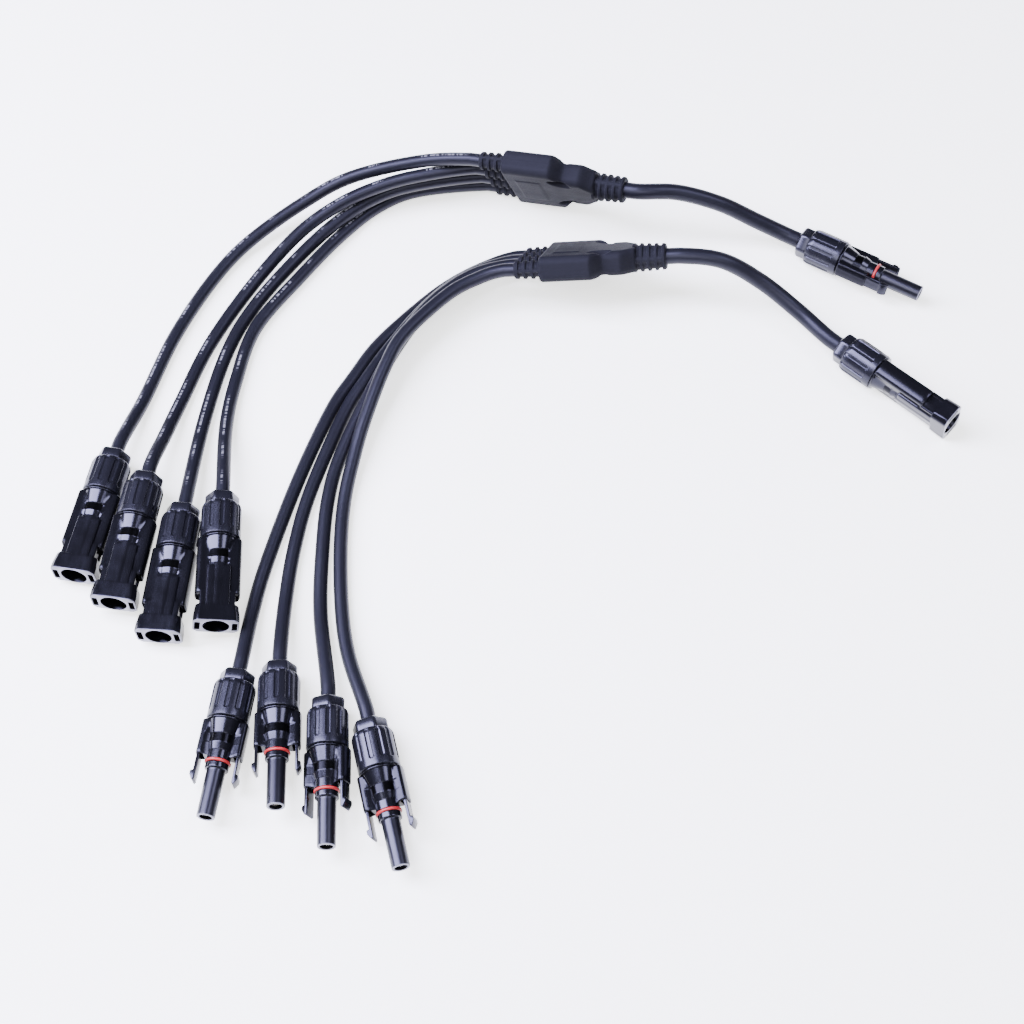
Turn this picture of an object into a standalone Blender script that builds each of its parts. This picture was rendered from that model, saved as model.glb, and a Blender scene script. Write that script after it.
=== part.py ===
"""Pair of 4-to-1 solar branch cables: two moulded splitters, ten cables and ten latching connectors.

Harness A joins four socket connectors to one plug. Harness B joins four plugs to one socket connector.
Connector drawings run along +X from the cable gland at station 0 to the mating end, latches towards +Y and -Y.
Splitter drawings run along +X from the four leg exits to the trunk exit, the legs spread along Y.
"""

import math

import bpy
from mathutils import Euler, Matrix, Vector

MM = 0.001
GAP = 0.3 * MM  # clearance between neighbouring pieces
EPS = 0.01 * MM

# Cables
LEG_DIA = 6.0 * MM
TRUNK_DIA = 7.3 * MM
CABLE_STEP = 17.0 * MM
STRAIGHT_OUT = 5.0 * MM  # cable length that stays in line with a gland or relief

# Cap nut
NUT_END = 21.0 * MM
HEX_LENGTH = 5.0 * MM
HEX_FLATS = 12.6 * MM
NUT_DIA = 16.6 * MM
RIB_DEPTH = 0.4 * MM
RIB_END = 18.5 * MM
NUT_SIDES = 24
THREAD_DIA = 12.0 * MM

# Housings
LENGTH = 60.0 * MM
HOUSING_BACK = 6.5 * MM
FLANGE = NUT_END + GAP
SIDES = 16
BAND_DIA = 10.6 * MM
BAND_START = 27.5 * MM
BAND_END = 31.0 * MM
CONE_END = 34.0 * MM
SHOULDER_BACK_RADIUS = 7.3 * MM  # to the corners of a hexagon that has one corner up
SHOULDER_FRONT_RADIUS = 5.7 * MM
CONE_BACK_RADIUS = 5.9 * MM
CONE_FRONT_RADIUS = 5.0 * MM
WING_OUT = 9.1 * MM
WING_HALF_HEIGHT = 4.6 * MM
WING_BACK_HALF_HEIGHT = 3.8 * MM
RAIL_HALF_HEIGHT = 4.9 * MM
WING_EDGE_HALF = 3.2 * MM
WING_IN = 3.9 * MM

# Plug nose
WING_END = 36.0 * MM
NOSE_DIA = 7.3 * MM
NOSE_BORE = 5.0 * MM
COLLAR_DIA = 9.2 * MM
COLLAR_END = 41.0 * MM
GROOVE_DIA = 7.0 * MM
O_RING_STATION = 38.0 * MM
O_RING_THICK = 1.3 * MM
O_RING_OUT = 10.3 * MM

# Latch arms
LATCH_START = WING_END + GAP
LATCH_END = 48.8 * MM
LATCH_HOOK = 44.2 * MM
LATCH_IN = 7.1 * MM
LATCH_OUT = 8.3 * MM
BARB_OUT = 9.3 * MM
LATCH_HEIGHT = 5.6 * MM

# Socket body
RAIL_END = 47.0 * MM
MOUTH_START = 52.4 * MM
BODY_DIA = 11.4 * MM
WAIST_HALF = 7.1 * MM
MOUTH_HALF_WIDTH = 9.2 * MM
MOUTH_HALF_HEIGHT = 5.7 * MM
MOUTH_CHAMFER = 1.8 * MM
MOUTH_BORE = 10.5 * MM
MOUTH_BORE_START = 53.0 * MM
CAVITY_BORE = 8.0 * MM
CAVITY_START = 36.0 * MM
SLOT_IN = 6.3 * MM
SLOT_OUT = 8.5 * MM
SLOT_HEIGHT = 6.4 * MM

# Contacts
CRIMP_START = 18.0 * MM
CRIMP_DIA = 5.4 * MM
CRIMP_BORE = 6.0 * MM
SHOULDER = 31.3 * MM
PIN_DIA = 4.0 * MM
PIN_BORE = 4.6 * MM
PIN_END = 52.5 * MM
SOCKET_CONTACT_DIA = 4.4 * MM
SOCKET_CONTACT_END = 58.5 * MM
SOCKET_CONTACT_START = 38.0 * MM

# Splitter
LEG_PITCH = 9.5 * MM
LEGS = 4
BLOCK_LENGTH = 42.0 * MM
BLOCK_WIDTH = 38.0 * MM
BLOCK_THICK = 11.5 * MM
NECK_WIDTH = 25.0 * MM
NECK_START = 26.0 * MM
LEG_RELIEF_LENGTH = 11.0 * MM
LEG_RELIEF_DIA = 9.0 * MM
TRUNK_RELIEF_LENGTH = 13.0 * MM
TRUNK_RELIEF_DIA = 13.0 * MM
GROOVE_DEPTH = 0.9 * MM
SPLICE_START = 12.0 * MM
SPLICE_END = 31.0 * MM
SPLICE_HALF_HEIGHT = 2.6 * MM

# The row's origin: the middle of the footprint of everything except the cables, on the surface
ORIGIN = Vector((3.3, 10.4, 0.0)) * MM

# Where each splitter's leg face centre lies (mm), and how it is turned (roll, pitch, yaw in degrees)
SPLITTERS = {
    "a": ((0.0, 169.0, 21.0), (-69.0, -10.0, -18.4)),
    "b": ((15.0, 121.3, 17.0), (142.0, -11.6, -6.2)),
}

# Each connector: kind, where its gland face lies (mm), and its roll, pitch and yaw in degrees
CONNECTORS = {
    "a_leg1": ("socket", (-168.4, 23.6, 8.5), (0.0, 0.0, -99.5)),
    "a_leg2": ("socket", (-152.8, 9.8, 12.3), (-3.0, 1.0, -96.8)),
    "a_leg3": ("socket", (-136.7, -3.3, 8.5), (0.0, 0.0, -94.0)),
    "a_leg4": ("socket", (-120.4, 0.2, 12.4), (-11.0, 1.5, -87.7)),
    "a_trunk": ("plug", (132.9, 140.7, 8.5), (-15.0, 0.0, -31.0)),
    "b_leg1": ("plug", (-107.6, -79.3, 8.5), (0.0, 0.0, -97.1)),
    "b_leg2": ("plug", (-91.6, -76.1, 8.8), (0.0, -3.0, -87.0)),
    "b_leg3": ("plug", (-71.6, -91.1, 9.2), (24.0, -1.0, -87.3)),
    "b_leg4": ("plug", (-55.2, -100.3, 9.0), (15.0, 0.0, -76.2)),
    "b_trunk": ("socket", (145.0, 79.4, 9.9), (105.0, 0.0, -43.0)),
}

# The points each cable passes between its splitter and its connector (mm)
ROUTES = {
    "a_leg1": ((-43, 174, 25.4), (-75, 172, 17), (-98, 162, 10), (-122, 143, 5), (-137, 122, 3.2),
               (-151, 90, 3.2), (-161, 55, 3.4)),
    "a_leg2": ((-42, 170, 20.4), (-61, 166, 17.6), (-80, 158, 14), (-99, 144, 9), (-119, 117, 4.4),
               (-135, 85, 3.2), (-144.5, 54, 3.6), (-149, 33, 7.5)),
    "a_leg3": ((-43, 171, 13.4), (-62, 166, 10.8), (-80, 154, 8), (-98, 135, 4.6), (-117, 106, 3.4),
               (-127, 80, 3.4), (-133.5, 44, 3.6)),
    "a_leg4": ((-44, 174, 5.3), (-63, 166, 3.2), (-80, 148, 3.2), (-97, 124, 3.2), (-115, 95, 3.2),
               (-121.5, 66, 3.2), (-123.5, 40, 5)),
    "a_trunk": ((75, 151.5, 29.5), (95, 150, 23.5), (112, 147.5, 15)),
    "b_leg1": ((-13, 129, 3.4), (-27, 120, 3.2), (-40, 108, 3.2), (-59, 86, 3.2), (-70, 67, 3.2),
               (-79, 49, 3.2), (-91, 13, 3.2), (-101, -26, 3.2), (-105, -49, 3.8)),
    "b_leg2": ((-20, 120, 8.6), (-37, 105, 7.6), (-52, 85, 6), (-64, 65, 5), (-73, 47, 3.8),
               (-85, 9, 3.2), (-90, -18, 3.2), (-92, -44, 4)),
    "b_leg3": ((-19, 115, 14.4), (-36, 101, 12.9), (-49, 82, 10.9), (-60, 60, 7.8), (-73, 27, 3.9),
               (-77.5, 5, 3.2), (-78.5, -20, 3.2), (-77.5, -50, 3.8)),
    "b_leg4": ((-16, 109, 20), (-29, 101, 18.6), (-47, 81, 17.3), (-55, 65, 15), (-63, 41, 10.1),
               (-67, 25, 6.6), (-70.5, 4, 3.8), (-71, -20, 3.2), (-69, -48, 3.4), (-65, -70, 5)),
    "b_trunk": ((93, 113, 28), (111, 108.5, 19), (128, 98, 11)),
}

# Colour (r, g, b, alpha), roughness and metallic value of each material
MATERIALS = {
    "black_shell": ((0.020, 0.020, 0.028, 1.0), 0.35, 0.0),
    "black_nut": ((0.024, 0.024, 0.034, 1.0), 0.32, 0.0),
    "black_overmould": ((0.022, 0.022, 0.030, 1.0), 0.45, 0.0),
    "cable_jacket": ((0.026, 0.026, 0.036, 1.0), 0.48, 0.0),
    "red_seal": ((0.62, 0.06, 0.04, 1.0), 0.45, 0.0),
    "tinned_copper": ((0.72, 0.70, 0.66, 1.0), 0.28, 1.0),
}


def clear_scene():
    for obj in list(bpy.data.objects):
        bpy.data.objects.remove(obj, do_unlink=True)


def make_material(name):
    colour, roughness, metallic = MATERIALS[name]
    material = bpy.data.materials.new(name)
    material.use_nodes = True
    shader = material.node_tree.nodes["Principled BSDF"]
    shader.inputs["Base Color"].default_value = colour
    shader.inputs["Roughness"].default_value = roughness
    shader.inputs["Metallic"].default_value = metallic
    material.diffuse_color = colour
    return material


def placement(position_mm, turn_degrees):
    """World matrix of a drawing whose origin sits at position_mm, turned by roll, pitch and yaw."""
    roll, pitch, yaw = (math.radians(angle) for angle in turn_degrees)
    turn = Euler((roll, pitch, yaw), "XYZ").to_matrix().to_4x4()
    return Matrix.Translation(Vector(position_mm) * MM - ORIGIN) @ turn


# ---- mesh building ----

def mesh_object(name, vertices, faces):
    mesh = bpy.data.meshes.new(name)
    mesh.from_pydata(vertices, [], faces)
    obj = bpy.data.objects.new(name, mesh)
    bpy.context.collection.objects.link(obj)
    return obj


def loft(name, rings):
    """A closed body through rings of the same number of points, capped at both ends."""
    count = len(rings[0])
    vertices = [point for ring in rings for point in ring]
    faces = [tuple(reversed(range(count)))]
    for ring in range(len(rings) - 1):
        low = ring * count
        high = low + count
        for i in range(count):
            j = (i + 1) % count
            faces.append((low + i, low + j, high + j, high + i))
    last = (len(rings) - 1) * count
    faces.append(tuple(range(last, last + count)))
    return mesh_object(name, vertices, faces)


def round_ring(station, radius, sides=SIDES, centre_y=0.0):
    ring = []
    for i in range(sides):
        angle = 2.0 * math.pi * i / sides
        ring.append((station, centre_y + radius * math.cos(angle), radius * math.sin(angle)))
    return ring


def revolved(name, profile, sides=SIDES, centre_y=0.0):
    """A round body about a line parallel to X, from (station, radius) pairs."""
    return loft(name, [round_ring(station, radius, sides, centre_y) for station, radius in profile])


def prism_x(name, outline, start, end):
    """An outline of (y, z) points, anticlockwise seen from +X, carried along X."""
    return loft(name, [[(station, y, z) for y, z in outline] for station in (start, end)])


def prism_z(name, outline, half_height):
    """An outline of (x, y) points, anticlockwise seen from +Z, carried along Z."""
    rings = [[(x, y, z) for x, y in outline] for z in (-half_height, half_height)]
    return loft(name, rings)


def hexagon_ring(station, radius):
    """Six corners round the X axis, one of them straight up."""
    corners = [math.radians(60.0 * i - 30.0) for i in range(6)]
    return [(station, radius * math.cos(angle), radius * math.sin(angle)) for angle in corners]


def chamfered(half_width, half_height, chamfer):
    """A rectangle in Y and Z with its corners cut."""
    inner_y = half_width - chamfer
    inner_z = half_height - chamfer
    return [
        (half_width, -inner_z), (half_width, inner_z), (inner_y, half_height), (-inner_y, half_height),
        (-half_width, inner_z), (-half_width, -inner_z), (-inner_y, -half_height), (inner_y, -half_height),
    ]


def combine(base, tool, operation):
    """Joins or cuts base with tool, which is used up."""
    modifier = base.modifiers.new(operation, "BOOLEAN")
    modifier.operation = operation
    modifier.solver = "EXACT"
    modifier.object = tool
    graph = bpy.context.evaluated_depsgraph_get()
    result = bpy.data.meshes.new_from_object(base.evaluated_get(graph))
    old = base.data
    base.modifiers.clear()
    base.data = result
    bpy.data.meshes.remove(old)
    bpy.data.objects.remove(tool, do_unlink=True)


def add(base, *tools):
    for tool in tools:
        combine(base, tool, "UNION")


def cut(base, *tools):
    for tool in tools:
        combine(base, tool, "DIFFERENCE")


def finish(obj, name, material, matrix, smooth_angle=35.0):
    obj.name = name
    obj.data.name = name
    obj.data.materials.clear()
    obj.data.materials.append(bpy.data.materials[material])
    obj.matrix_world = matrix
    obj.data.shade_smooth()
    obj.data.set_sharp_from_angle(angle=math.radians(smooth_angle))
    return obj


# ---- cap nut ----

def hexagon_radius(angle):
    """Distance to a hexagon with flats facing +Z and -Z, its points rounded off to a circle."""
    step = math.radians(60.0)
    to_flat = (angle + step / 2.0) % step - step / 2.0
    return HEX_FLATS / 2.0 / math.cos(to_flat)


def nut_ring(station, radius_of):
    ring = []
    for i in range(NUT_SIDES):
        angle = 2.0 * math.pi * i / NUT_SIDES
        radius = radius_of(i, angle)
        ring.append((station, radius * math.cos(angle), radius * math.sin(angle)))
    return ring


def cap_nut(cable_dia):
    """Gland nut: hexagonal collar, ribbed grip and a plain band, with a hole for the cable."""
    radius = NUT_DIA / 2.0

    def collar(_, angle):
        return hexagon_radius(angle + math.radians(30.0))

    def ribs(i, _):
        return radius if i % 2 else radius - RIB_DEPTH

    body = loft("nut", [
        nut_ring(0.0, collar),
        nut_ring(HEX_LENGTH, collar),
        nut_ring(HEX_LENGTH + EPS, lambda i, _: radius - 0.9 * MM),
        nut_ring(HEX_LENGTH + 1.2 * MM, ribs),
        nut_ring(RIB_END, ribs),
        nut_ring(NUT_END, lambda i, _: radius),
    ])
    hole = cable_dia / 2.0 + GAP
    thread = THREAD_DIA / 2.0 + 1.3 * GAP
    cut(body, revolved("bore", [
        (-1.0 * MM, hole), (HEX_LENGTH + 0.9 * MM, hole), (HEX_LENGTH + 0.91 * MM, thread),
        (NUT_END + 1.0 * MM, thread),
    ]))
    return body


# ---- housings ----

def housing_back():
    """Threaded tail, six-sided shoulder, round band and six-sided cone that both connector kinds share."""
    body = revolved("tail", [
        (HOUSING_BACK, THREAD_DIA / 2.0),
        (FLANGE + 1.0 * MM, THREAD_DIA / 2.0),
    ])
    shoulder = loft("shoulder", [hexagon_ring(FLANGE, SHOULDER_BACK_RADIUS),
                                 hexagon_ring(BAND_START, SHOULDER_FRONT_RADIUS)])
    band = revolved("band", [
        (BAND_START - 1.0 * MM, BAND_DIA / 2.0 - 0.4 * MM), (BAND_END + 0.5 * MM, BAND_DIA / 2.0 - 0.1 * MM),
    ])
    cone = loft("cone", [hexagon_ring(BAND_END, CONE_BACK_RADIUS), hexagon_ring(CONE_END, CONE_FRONT_RADIUS)])
    add(body, shoulder, band, cone)
    return body


def wing(side, start, end, start_half_height, end_half_height):
    """Side rail that guards a latch; side is +1 or -1."""
    rings = []
    for station, half_height in ((start, start_half_height), (end, end_half_height)):
        outline = [
            (WING_IN, -half_height), (WING_OUT - 0.9 * MM, -half_height), (WING_OUT, -WING_EDGE_HALF),
            (WING_OUT, WING_EDGE_HALF), (WING_OUT - 0.9 * MM, half_height), (WING_IN, half_height),
        ]
        rings.append([(station, side * y, side * z) for y, z in outline])
    return loft("wing", rings)


def cable_bore(cable_dia):
    """Room for the cable end and the crimped contact in a housing's tail."""
    radius = cable_dia / 2.0 + 3.0 * GAP
    contact = CRIMP_BORE / 2.0
    return revolved("cable_bore", [
        (HOUSING_BACK - 1.0 * MM, radius), (CRIMP_START - 0.1 * MM, radius), (CRIMP_START, contact),
        (SHOULDER, contact),
    ], sides=12)


def plug_housing(cable_dia):
    body = housing_back()
    groove = O_RING_THICK / 2.0 + GAP
    nose = revolved("nose", [
        (CONE_END - 0.5 * MM, 4.2 * MM), (CONE_END + 1.0 * MM, COLLAR_DIA / 2.0),
        (O_RING_STATION - groove, COLLAR_DIA / 2.0), (O_RING_STATION - groove + EPS, GROOVE_DIA / 2.0),
        (O_RING_STATION + groove, GROOVE_DIA / 2.0), (O_RING_STATION + groove + EPS, COLLAR_DIA / 2.0),
        (COLLAR_END - 0.5 * MM, COLLAR_DIA / 2.0), (COLLAR_END, NOSE_DIA / 2.0),
        (LENGTH - 0.4 * MM, NOSE_DIA / 2.0), (LENGTH, NOSE_DIA / 2.0 - 0.3 * MM),
    ])
    add(body, nose)
    for side in (1, -1):
        add(body, wing(side, FLANGE + 0.2 * MM, WING_END, WING_BACK_HALF_HEIGHT, WING_HALF_HEIGHT))
    cut(body, cable_bore(cable_dia))
    cut(body, revolved("nose_bore", [(SHOULDER - 0.5 * MM, NOSE_BORE / 2.0),
                                     (LENGTH + 1.0 * MM, NOSE_BORE / 2.0)], sides=12))
    return body


def socket_housing(cable_dia):
    body = housing_back()
    shell = revolved("shell", [(CONE_END - 1.5 * MM, 5.0 * MM), (CONE_END - 0.5 * MM, BODY_DIA / 2.0),
                               (LENGTH - 0.5 * MM, BODY_DIA / 2.0 - 0.05 * MM)])
    waist = prism_x("waist", chamfered(WAIST_HALF, 4.6 * MM, 1.0 * MM), RAIL_END - 1.0 * MM,
                    MOUTH_START + 1.0 * MM)
    mouth = prism_x("mouth", chamfered(MOUTH_HALF_WIDTH, MOUTH_HALF_HEIGHT, MOUTH_CHAMFER),
                    MOUTH_START, LENGTH)
    add(body, shell)
    for side in (1, -1):
        add(body, wing(side, FLANGE + 0.2 * MM, RAIL_END, RAIL_HALF_HEIGHT, RAIL_HALF_HEIGHT))
    add(body, waist, mouth)
    cut(body, cable_bore(cable_dia))
    cut(body, revolved("cavity", [
        (SHOULDER - 0.5 * MM, PIN_BORE / 2.0), (CAVITY_START, PIN_BORE / 2.0),
        (CAVITY_START + EPS, CAVITY_BORE / 2.0), (MOUTH_BORE_START, CAVITY_BORE / 2.0),
        (MOUTH_BORE_START + EPS, MOUTH_BORE / 2.0), (LENGTH + 1.0 * MM, MOUTH_BORE / 2.0),
    ], sides=12))
    for side in (1, -1):
        near, far = sorted((side * SLOT_IN, side * SLOT_OUT))
        half = SLOT_HEIGHT / 2.0
        cut(body, prism_x("slot", [(near, -half), (far, -half), (far, half), (near, half)],
                          RAIL_END - 1.5 * MM, LENGTH + 1.0 * MM))
    return body


def latch_arm(side):
    """Springy arm with an outward barb, drawn about its root so that the hinge is at the origin."""
    root_x, root_y = latch_root(side)
    outline = [
        (LATCH_START, LATCH_IN), (LATCH_END - 0.6 * MM, LATCH_IN + 0.1 * MM), (LATCH_END, LATCH_IN + 0.6 * MM),
        (LATCH_END - 0.2 * MM, LATCH_OUT - 0.2 * MM), (LATCH_HOOK + 0.8 * MM, BARB_OUT),
        (LATCH_HOOK, BARB_OUT), (LATCH_HOOK, LATCH_OUT), (LATCH_START, LATCH_OUT),
    ]
    outline = [(x - root_x, side * y - root_y) for x, y in outline]
    if side < 0:
        outline.reverse()
    return prism_z("latch", outline, LATCH_HEIGHT / 2.0)


def latch_root(side):
    """The living hinge lies between the wing's front and the arm's root."""
    return LATCH_START - GAP / 2.0, side * (LATCH_IN + LATCH_OUT) / 2.0


def o_ring():
    """Sealing ring round the plug's nose."""
    major = (O_RING_OUT - O_RING_THICK) / 2.0
    around, across = 12, 5
    vertices = []
    faces = []
    for i in range(around):
        turn = 2.0 * math.pi * i / around
        for j in range(across):
            roll = 2.0 * math.pi * j / across
            radius = major + O_RING_THICK / 2.0 * math.cos(roll)
            station = O_RING_STATION + O_RING_THICK / 2.0 * math.sin(roll)
            vertices.append((station, radius * math.cos(turn), radius * math.sin(turn)))
    for i in range(around):
        for j in range(across):
            a = i * across + j
            b = i * across + (j + 1) % across
            c = (i + 1) % around * across + (j + 1) % across
            d = (i + 1) % around * across + j
            faces.append((a, d, c, b))
    return mesh_object("o_ring", vertices, faces)


def contact_pin():
    """Crimped male contact that stands in a socket's cavity."""
    return revolved("pin", [
        (CRIMP_START + EPS, CRIMP_DIA / 2.0), (SHOULDER - GAP, CRIMP_DIA / 2.0),
        (SHOULDER - GAP + EPS, PIN_DIA / 2.0), (PIN_END - 1.2 * MM, PIN_DIA / 2.0), (PIN_END, 0.9 * MM),
    ], sides=10)


def contact_socket():
    """Crimped tubular contact inside a plug's nose."""
    body = revolved("tube", [
        (CRIMP_START + EPS, CRIMP_DIA / 2.0), (SHOULDER - 1.0 * MM, CRIMP_DIA / 2.0),
        (SHOULDER - 0.9 * MM, SOCKET_CONTACT_DIA / 2.0), (SOCKET_CONTACT_END, SOCKET_CONTACT_DIA / 2.0),
    ], sides=10)
    cut(body, revolved("hole", [(SOCKET_CONTACT_START, 1.5 * MM), (LENGTH, 1.5 * MM)], sides=8))
    return body


# ---- splitter ----

def leg_offset(leg):
    """Y of a leg's axis in the splitter drawing; leg counts from 1."""
    return (leg - 1 - (LEGS - 1) / 2.0) * LEG_PITCH


def ribbed_relief(start, end, diameter, rings, centre_y=0.0, sides=10):
    """Moulded strain relief with grooves cut round it, slimmer towards its free end (end)."""
    length = end - start
    step = length / (rings * 2 + 1)
    profile = [(start, diameter / 2.0)]
    for i in range(rings):
        groove = start + (2 * i + 1) * step
        slim = 1.0 - 0.08 * i / rings
        profile.append((groove, diameter / 2.0 * slim))
        profile.append((groove + 0.5 * step, diameter / 2.0 * slim - GROOVE_DEPTH))
        profile.append((groove + step, diameter / 2.0 * slim))
    profile.append((end, diameter / 2.0 * 0.9))
    if end < start:
        profile.reverse()
    return revolved("relief", profile, sides, centre_y)


def splitter_block():
    """Moulded block: wide over the legs, then a narrower neck with a recess on each face."""
    wide = BLOCK_WIDTH / 2.0
    neck = NECK_WIDTH / 2.0
    half = BLOCK_THICK / 2.0
    rings = []
    for station, half_width, half_height, chamfer in (
        (0.0, wide - 1.2 * MM, half - 1.0 * MM, 1.5 * MM), (1.5 * MM, wide, half, 2.2 * MM),
        (NECK_START - 4.0 * MM, wide, half, 2.2 * MM), (NECK_START, neck + 3.0 * MM, half, 2.2 * MM),
        (NECK_START + 4.0 * MM, neck, half, 2.2 * MM), (BLOCK_LENGTH - 6.0 * MM, neck - 0.5 * MM, half, 2.2 * MM),
        (BLOCK_LENGTH, neck - 4.5 * MM, half, 2.2 * MM),
    ):
        rings.append([(station, y, z) for y, z in chamfered(half_width, half_height, chamfer)])
    body = loft("block", rings)
    for leg in range(1, LEGS + 1):
        add(body, ribbed_relief(2.0 * MM, -LEG_RELIEF_LENGTH, LEG_RELIEF_DIA, 2, leg_offset(leg), 8))
    add(body, ribbed_relief(BLOCK_LENGTH - 2.0 * MM, BLOCK_LENGTH + TRUNK_RELIEF_LENGTH, TRUNK_RELIEF_DIA, 3))
    return body


def splitter():
    body = splitter_block()
    cavity_y = leg_offset(LEGS) + LEG_DIA / 2.0 + GAP
    narrow_y = TRUNK_DIA / 2.0 + GAP
    height = SPLICE_HALF_HEIGHT + GAP
    outline = [
        (SPLICE_START, -cavity_y), (SPLICE_END, -narrow_y), (SPLICE_END, narrow_y), (SPLICE_START, cavity_y),
    ]
    cut(body, prism_z("splice_room", outline, height))
    for leg in range(1, LEGS + 1):
        cut(body, revolved("leg_bore", [(-LEG_RELIEF_LENGTH - MM, LEG_DIA / 2.0 + GAP),
                                        (SPLICE_START + 0.5 * MM, LEG_DIA / 2.0 + GAP)],
                           sides=8, centre_y=leg_offset(leg)))
    end = BLOCK_LENGTH + TRUNK_RELIEF_LENGTH + MM
    cut(body, revolved("trunk_bore", [(SPLICE_END - 0.5 * MM, TRUNK_DIA / 2.0 + GAP),
                                      (end, TRUNK_DIA / 2.0 + GAP)], sides=12))
    for side in (1, -1):
        for face in (1, -1):
            recess = revolved("recess", [(-2.0 * MM, 2.6 * MM), (2.0 * MM, 2.6 * MM)], sides=8)
            turn = Matrix.Rotation(math.radians(90.0), 4, "Y") @ Matrix.Diagonal((1.0, 0.8, 1.6, 1.0))
            spot = Matrix.Translation((NECK_START + 4.5 * MM, side * 7.2 * MM, face * BLOCK_THICK / 2.0))
            recess.data.transform(spot @ turn @ Matrix.Diagonal((0.5, 1.0, 1.0, 1.0)))
            cut(body, recess)
    return body


def splice_bar():
    """Bar that joins the four leg conductors to the trunk conductor."""
    leg_y = leg_offset(LEGS) + LEG_DIA / 2.0 - GAP
    trunk_y = TRUNK_DIA / 2.0 - GAP
    start = SPLICE_START + GAP
    end = SPLICE_END - GAP
    outline = [(start, -leg_y), (end, -trunk_y), (end, trunk_y), (start, leg_y)]
    return prism_z("splice", outline, SPLICE_HALF_HEIGHT)


# ---- cables ----

def smooth_through(points, start_ahead, end_ahead):
    """Points every CABLE_STEP along a smooth curve through points, with set directions at its ends."""
    knots = [points[0] - start_ahead, *points, points[-1] + end_ahead]
    fine = []
    for k in range(1, len(knots) - 2):
        a, b, c, d = knots[k - 1:k + 3]
        for i in range(24):
            t = i / 24.0
            fine.append(0.5 * (2.0 * b + (c - a) * t + (2.0 * a - 5.0 * b + 4.0 * c - d) * t ** 2
                               + (3.0 * b - a - 3.0 * c + d) * t ** 3))
    fine.append(points[-1])
    lengths = [0.0]
    for one, two in zip(fine, fine[1:]):
        lengths.append(lengths[-1] + (two - one).length)
    count = max(3, round(lengths[-1] / CABLE_STEP))
    result = []
    for i in range(count + 1):
        target = lengths[-1] * i / count
        k = max(1, next((j for j, done in enumerate(lengths) if done >= target - 1e-9), len(fine) - 1))
        share = (target - lengths[k - 1]) / (lengths[k] - lengths[k - 1])
        result.append(fine[k - 1].lerp(fine[k], min(1.0, max(0.0, share))))
    return result


def cable_ends(name):
    """For both ends of a cable: its inner end, and its axis point just outside, in world metres."""
    block = placement(*SPLITTERS[name[0]])
    connector = placement(*CONNECTORS[name][1:])
    if name.endswith("trunk"):
        outside = BLOCK_LENGTH + TRUNK_RELIEF_LENGTH + STRAIGHT_OUT
        inner = Vector((SPLICE_END, 0.0, 0.0))
        outer = Vector((outside, 0.0, 0.0))
    else:
        y = leg_offset(int(name[-1]))
        inner = Vector((SPLICE_START, y, 0.0))
        outer = Vector((-LEG_RELIEF_LENGTH - STRAIGHT_OUT, y, 0.0))
    return (block @ inner, block @ outer,
            connector @ Vector((-STRAIGHT_OUT, 0.0, 0.0)), connector @ Vector((CRIMP_START - GAP, 0.0, 0.0)))


def cable(name):
    """Plain tube from the splice to the contact, straight where it is held."""
    first, leaving, arriving, last = cable_ends(name)
    route = [Vector(point) * MM - ORIGIN for point in ROUTES[name]]
    middle = smooth_through([leaving, *route, arriving], (leaving - first).normalized() * 0.02,
                            (last - arriving).normalized() * 0.02)
    points = [first, *middle, last]
    curve = bpy.data.curves.new(name, "CURVE")
    curve.dimensions = "3D"
    curve.bevel_depth = (TRUNK_DIA if name.endswith("trunk") else LEG_DIA) / 2.0
    curve.bevel_resolution = 2
    curve.resolution_u = 1
    curve.use_fill_caps = True
    spline = curve.splines.new("POLY")
    spline.points.add(len(points) - 1)
    for point, place in zip(spline.points, points):
        point.co = (*place, 1.0)
    spline.use_smooth = True
    obj = bpy.data.objects.new(name, curve)
    bpy.context.collection.objects.link(obj)
    curve.materials.append(bpy.data.materials["cable_jacket"])
    obj.name = name + "_cable"
    return obj


# ---- assembly ----

def build_connector(name):
    kind, position, turn = CONNECTORS[name]
    matrix = placement(position, turn)
    cable_dia = TRUNK_DIA if name.endswith("trunk") else LEG_DIA
    label = f"{name}_{kind}"
    finish(cap_nut(cable_dia), label + "_cap_nut", "black_nut", matrix)
    if kind == "socket":
        finish(socket_housing(cable_dia), label + "_housing", "black_shell", matrix)
        finish(contact_pin(), label + "_contact_pin", "tinned_copper", matrix)
        return
    finish(plug_housing(cable_dia), label + "_housing", "black_shell", matrix)
    finish(contact_socket(), label + "_contact_tube", "tinned_copper", matrix)
    finish(o_ring(), label + "_o_ring", "red_seal", matrix, smooth_angle=80.0)
    for side, word in ((1, "left"), (-1, "right")):
        root = Matrix.Translation((*latch_root(side), 0.0))
        finish(latch_arm(side), f"{label}_latch_{word}", "black_shell", matrix @ root)


def build_harness(prefix):
    matrix = placement(*SPLITTERS[prefix])
    finish(splitter(), prefix + "_splitter", "black_overmould", matrix)
    finish(splice_bar(), prefix + "_splice_bar", "tinned_copper", matrix)
    for name in CONNECTORS:
        if name.startswith(prefix):
            cable(name)
            build_connector(name)


def main():
    clear_scene()
    for name in MATERIALS:
        make_material(name)
    for prefix in SPLITTERS:
        build_harness(prefix)


main()
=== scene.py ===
"""Looks for a pair of 4-to-1 solar branch cables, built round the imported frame.

Connector drawings run along +X from the cable gland at station 0 to the mating end, with the latches
towards +Y and -Y.
Splitter drawings run along +X from the four leg exits to the trunk exit, the legs spread along Y.
Drawing functions work in millimetres; meshes and everything after them are in metres.
"""

import math

import bpy
import numpy as np
from mathutils import Euler, Matrix, Vector

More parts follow.
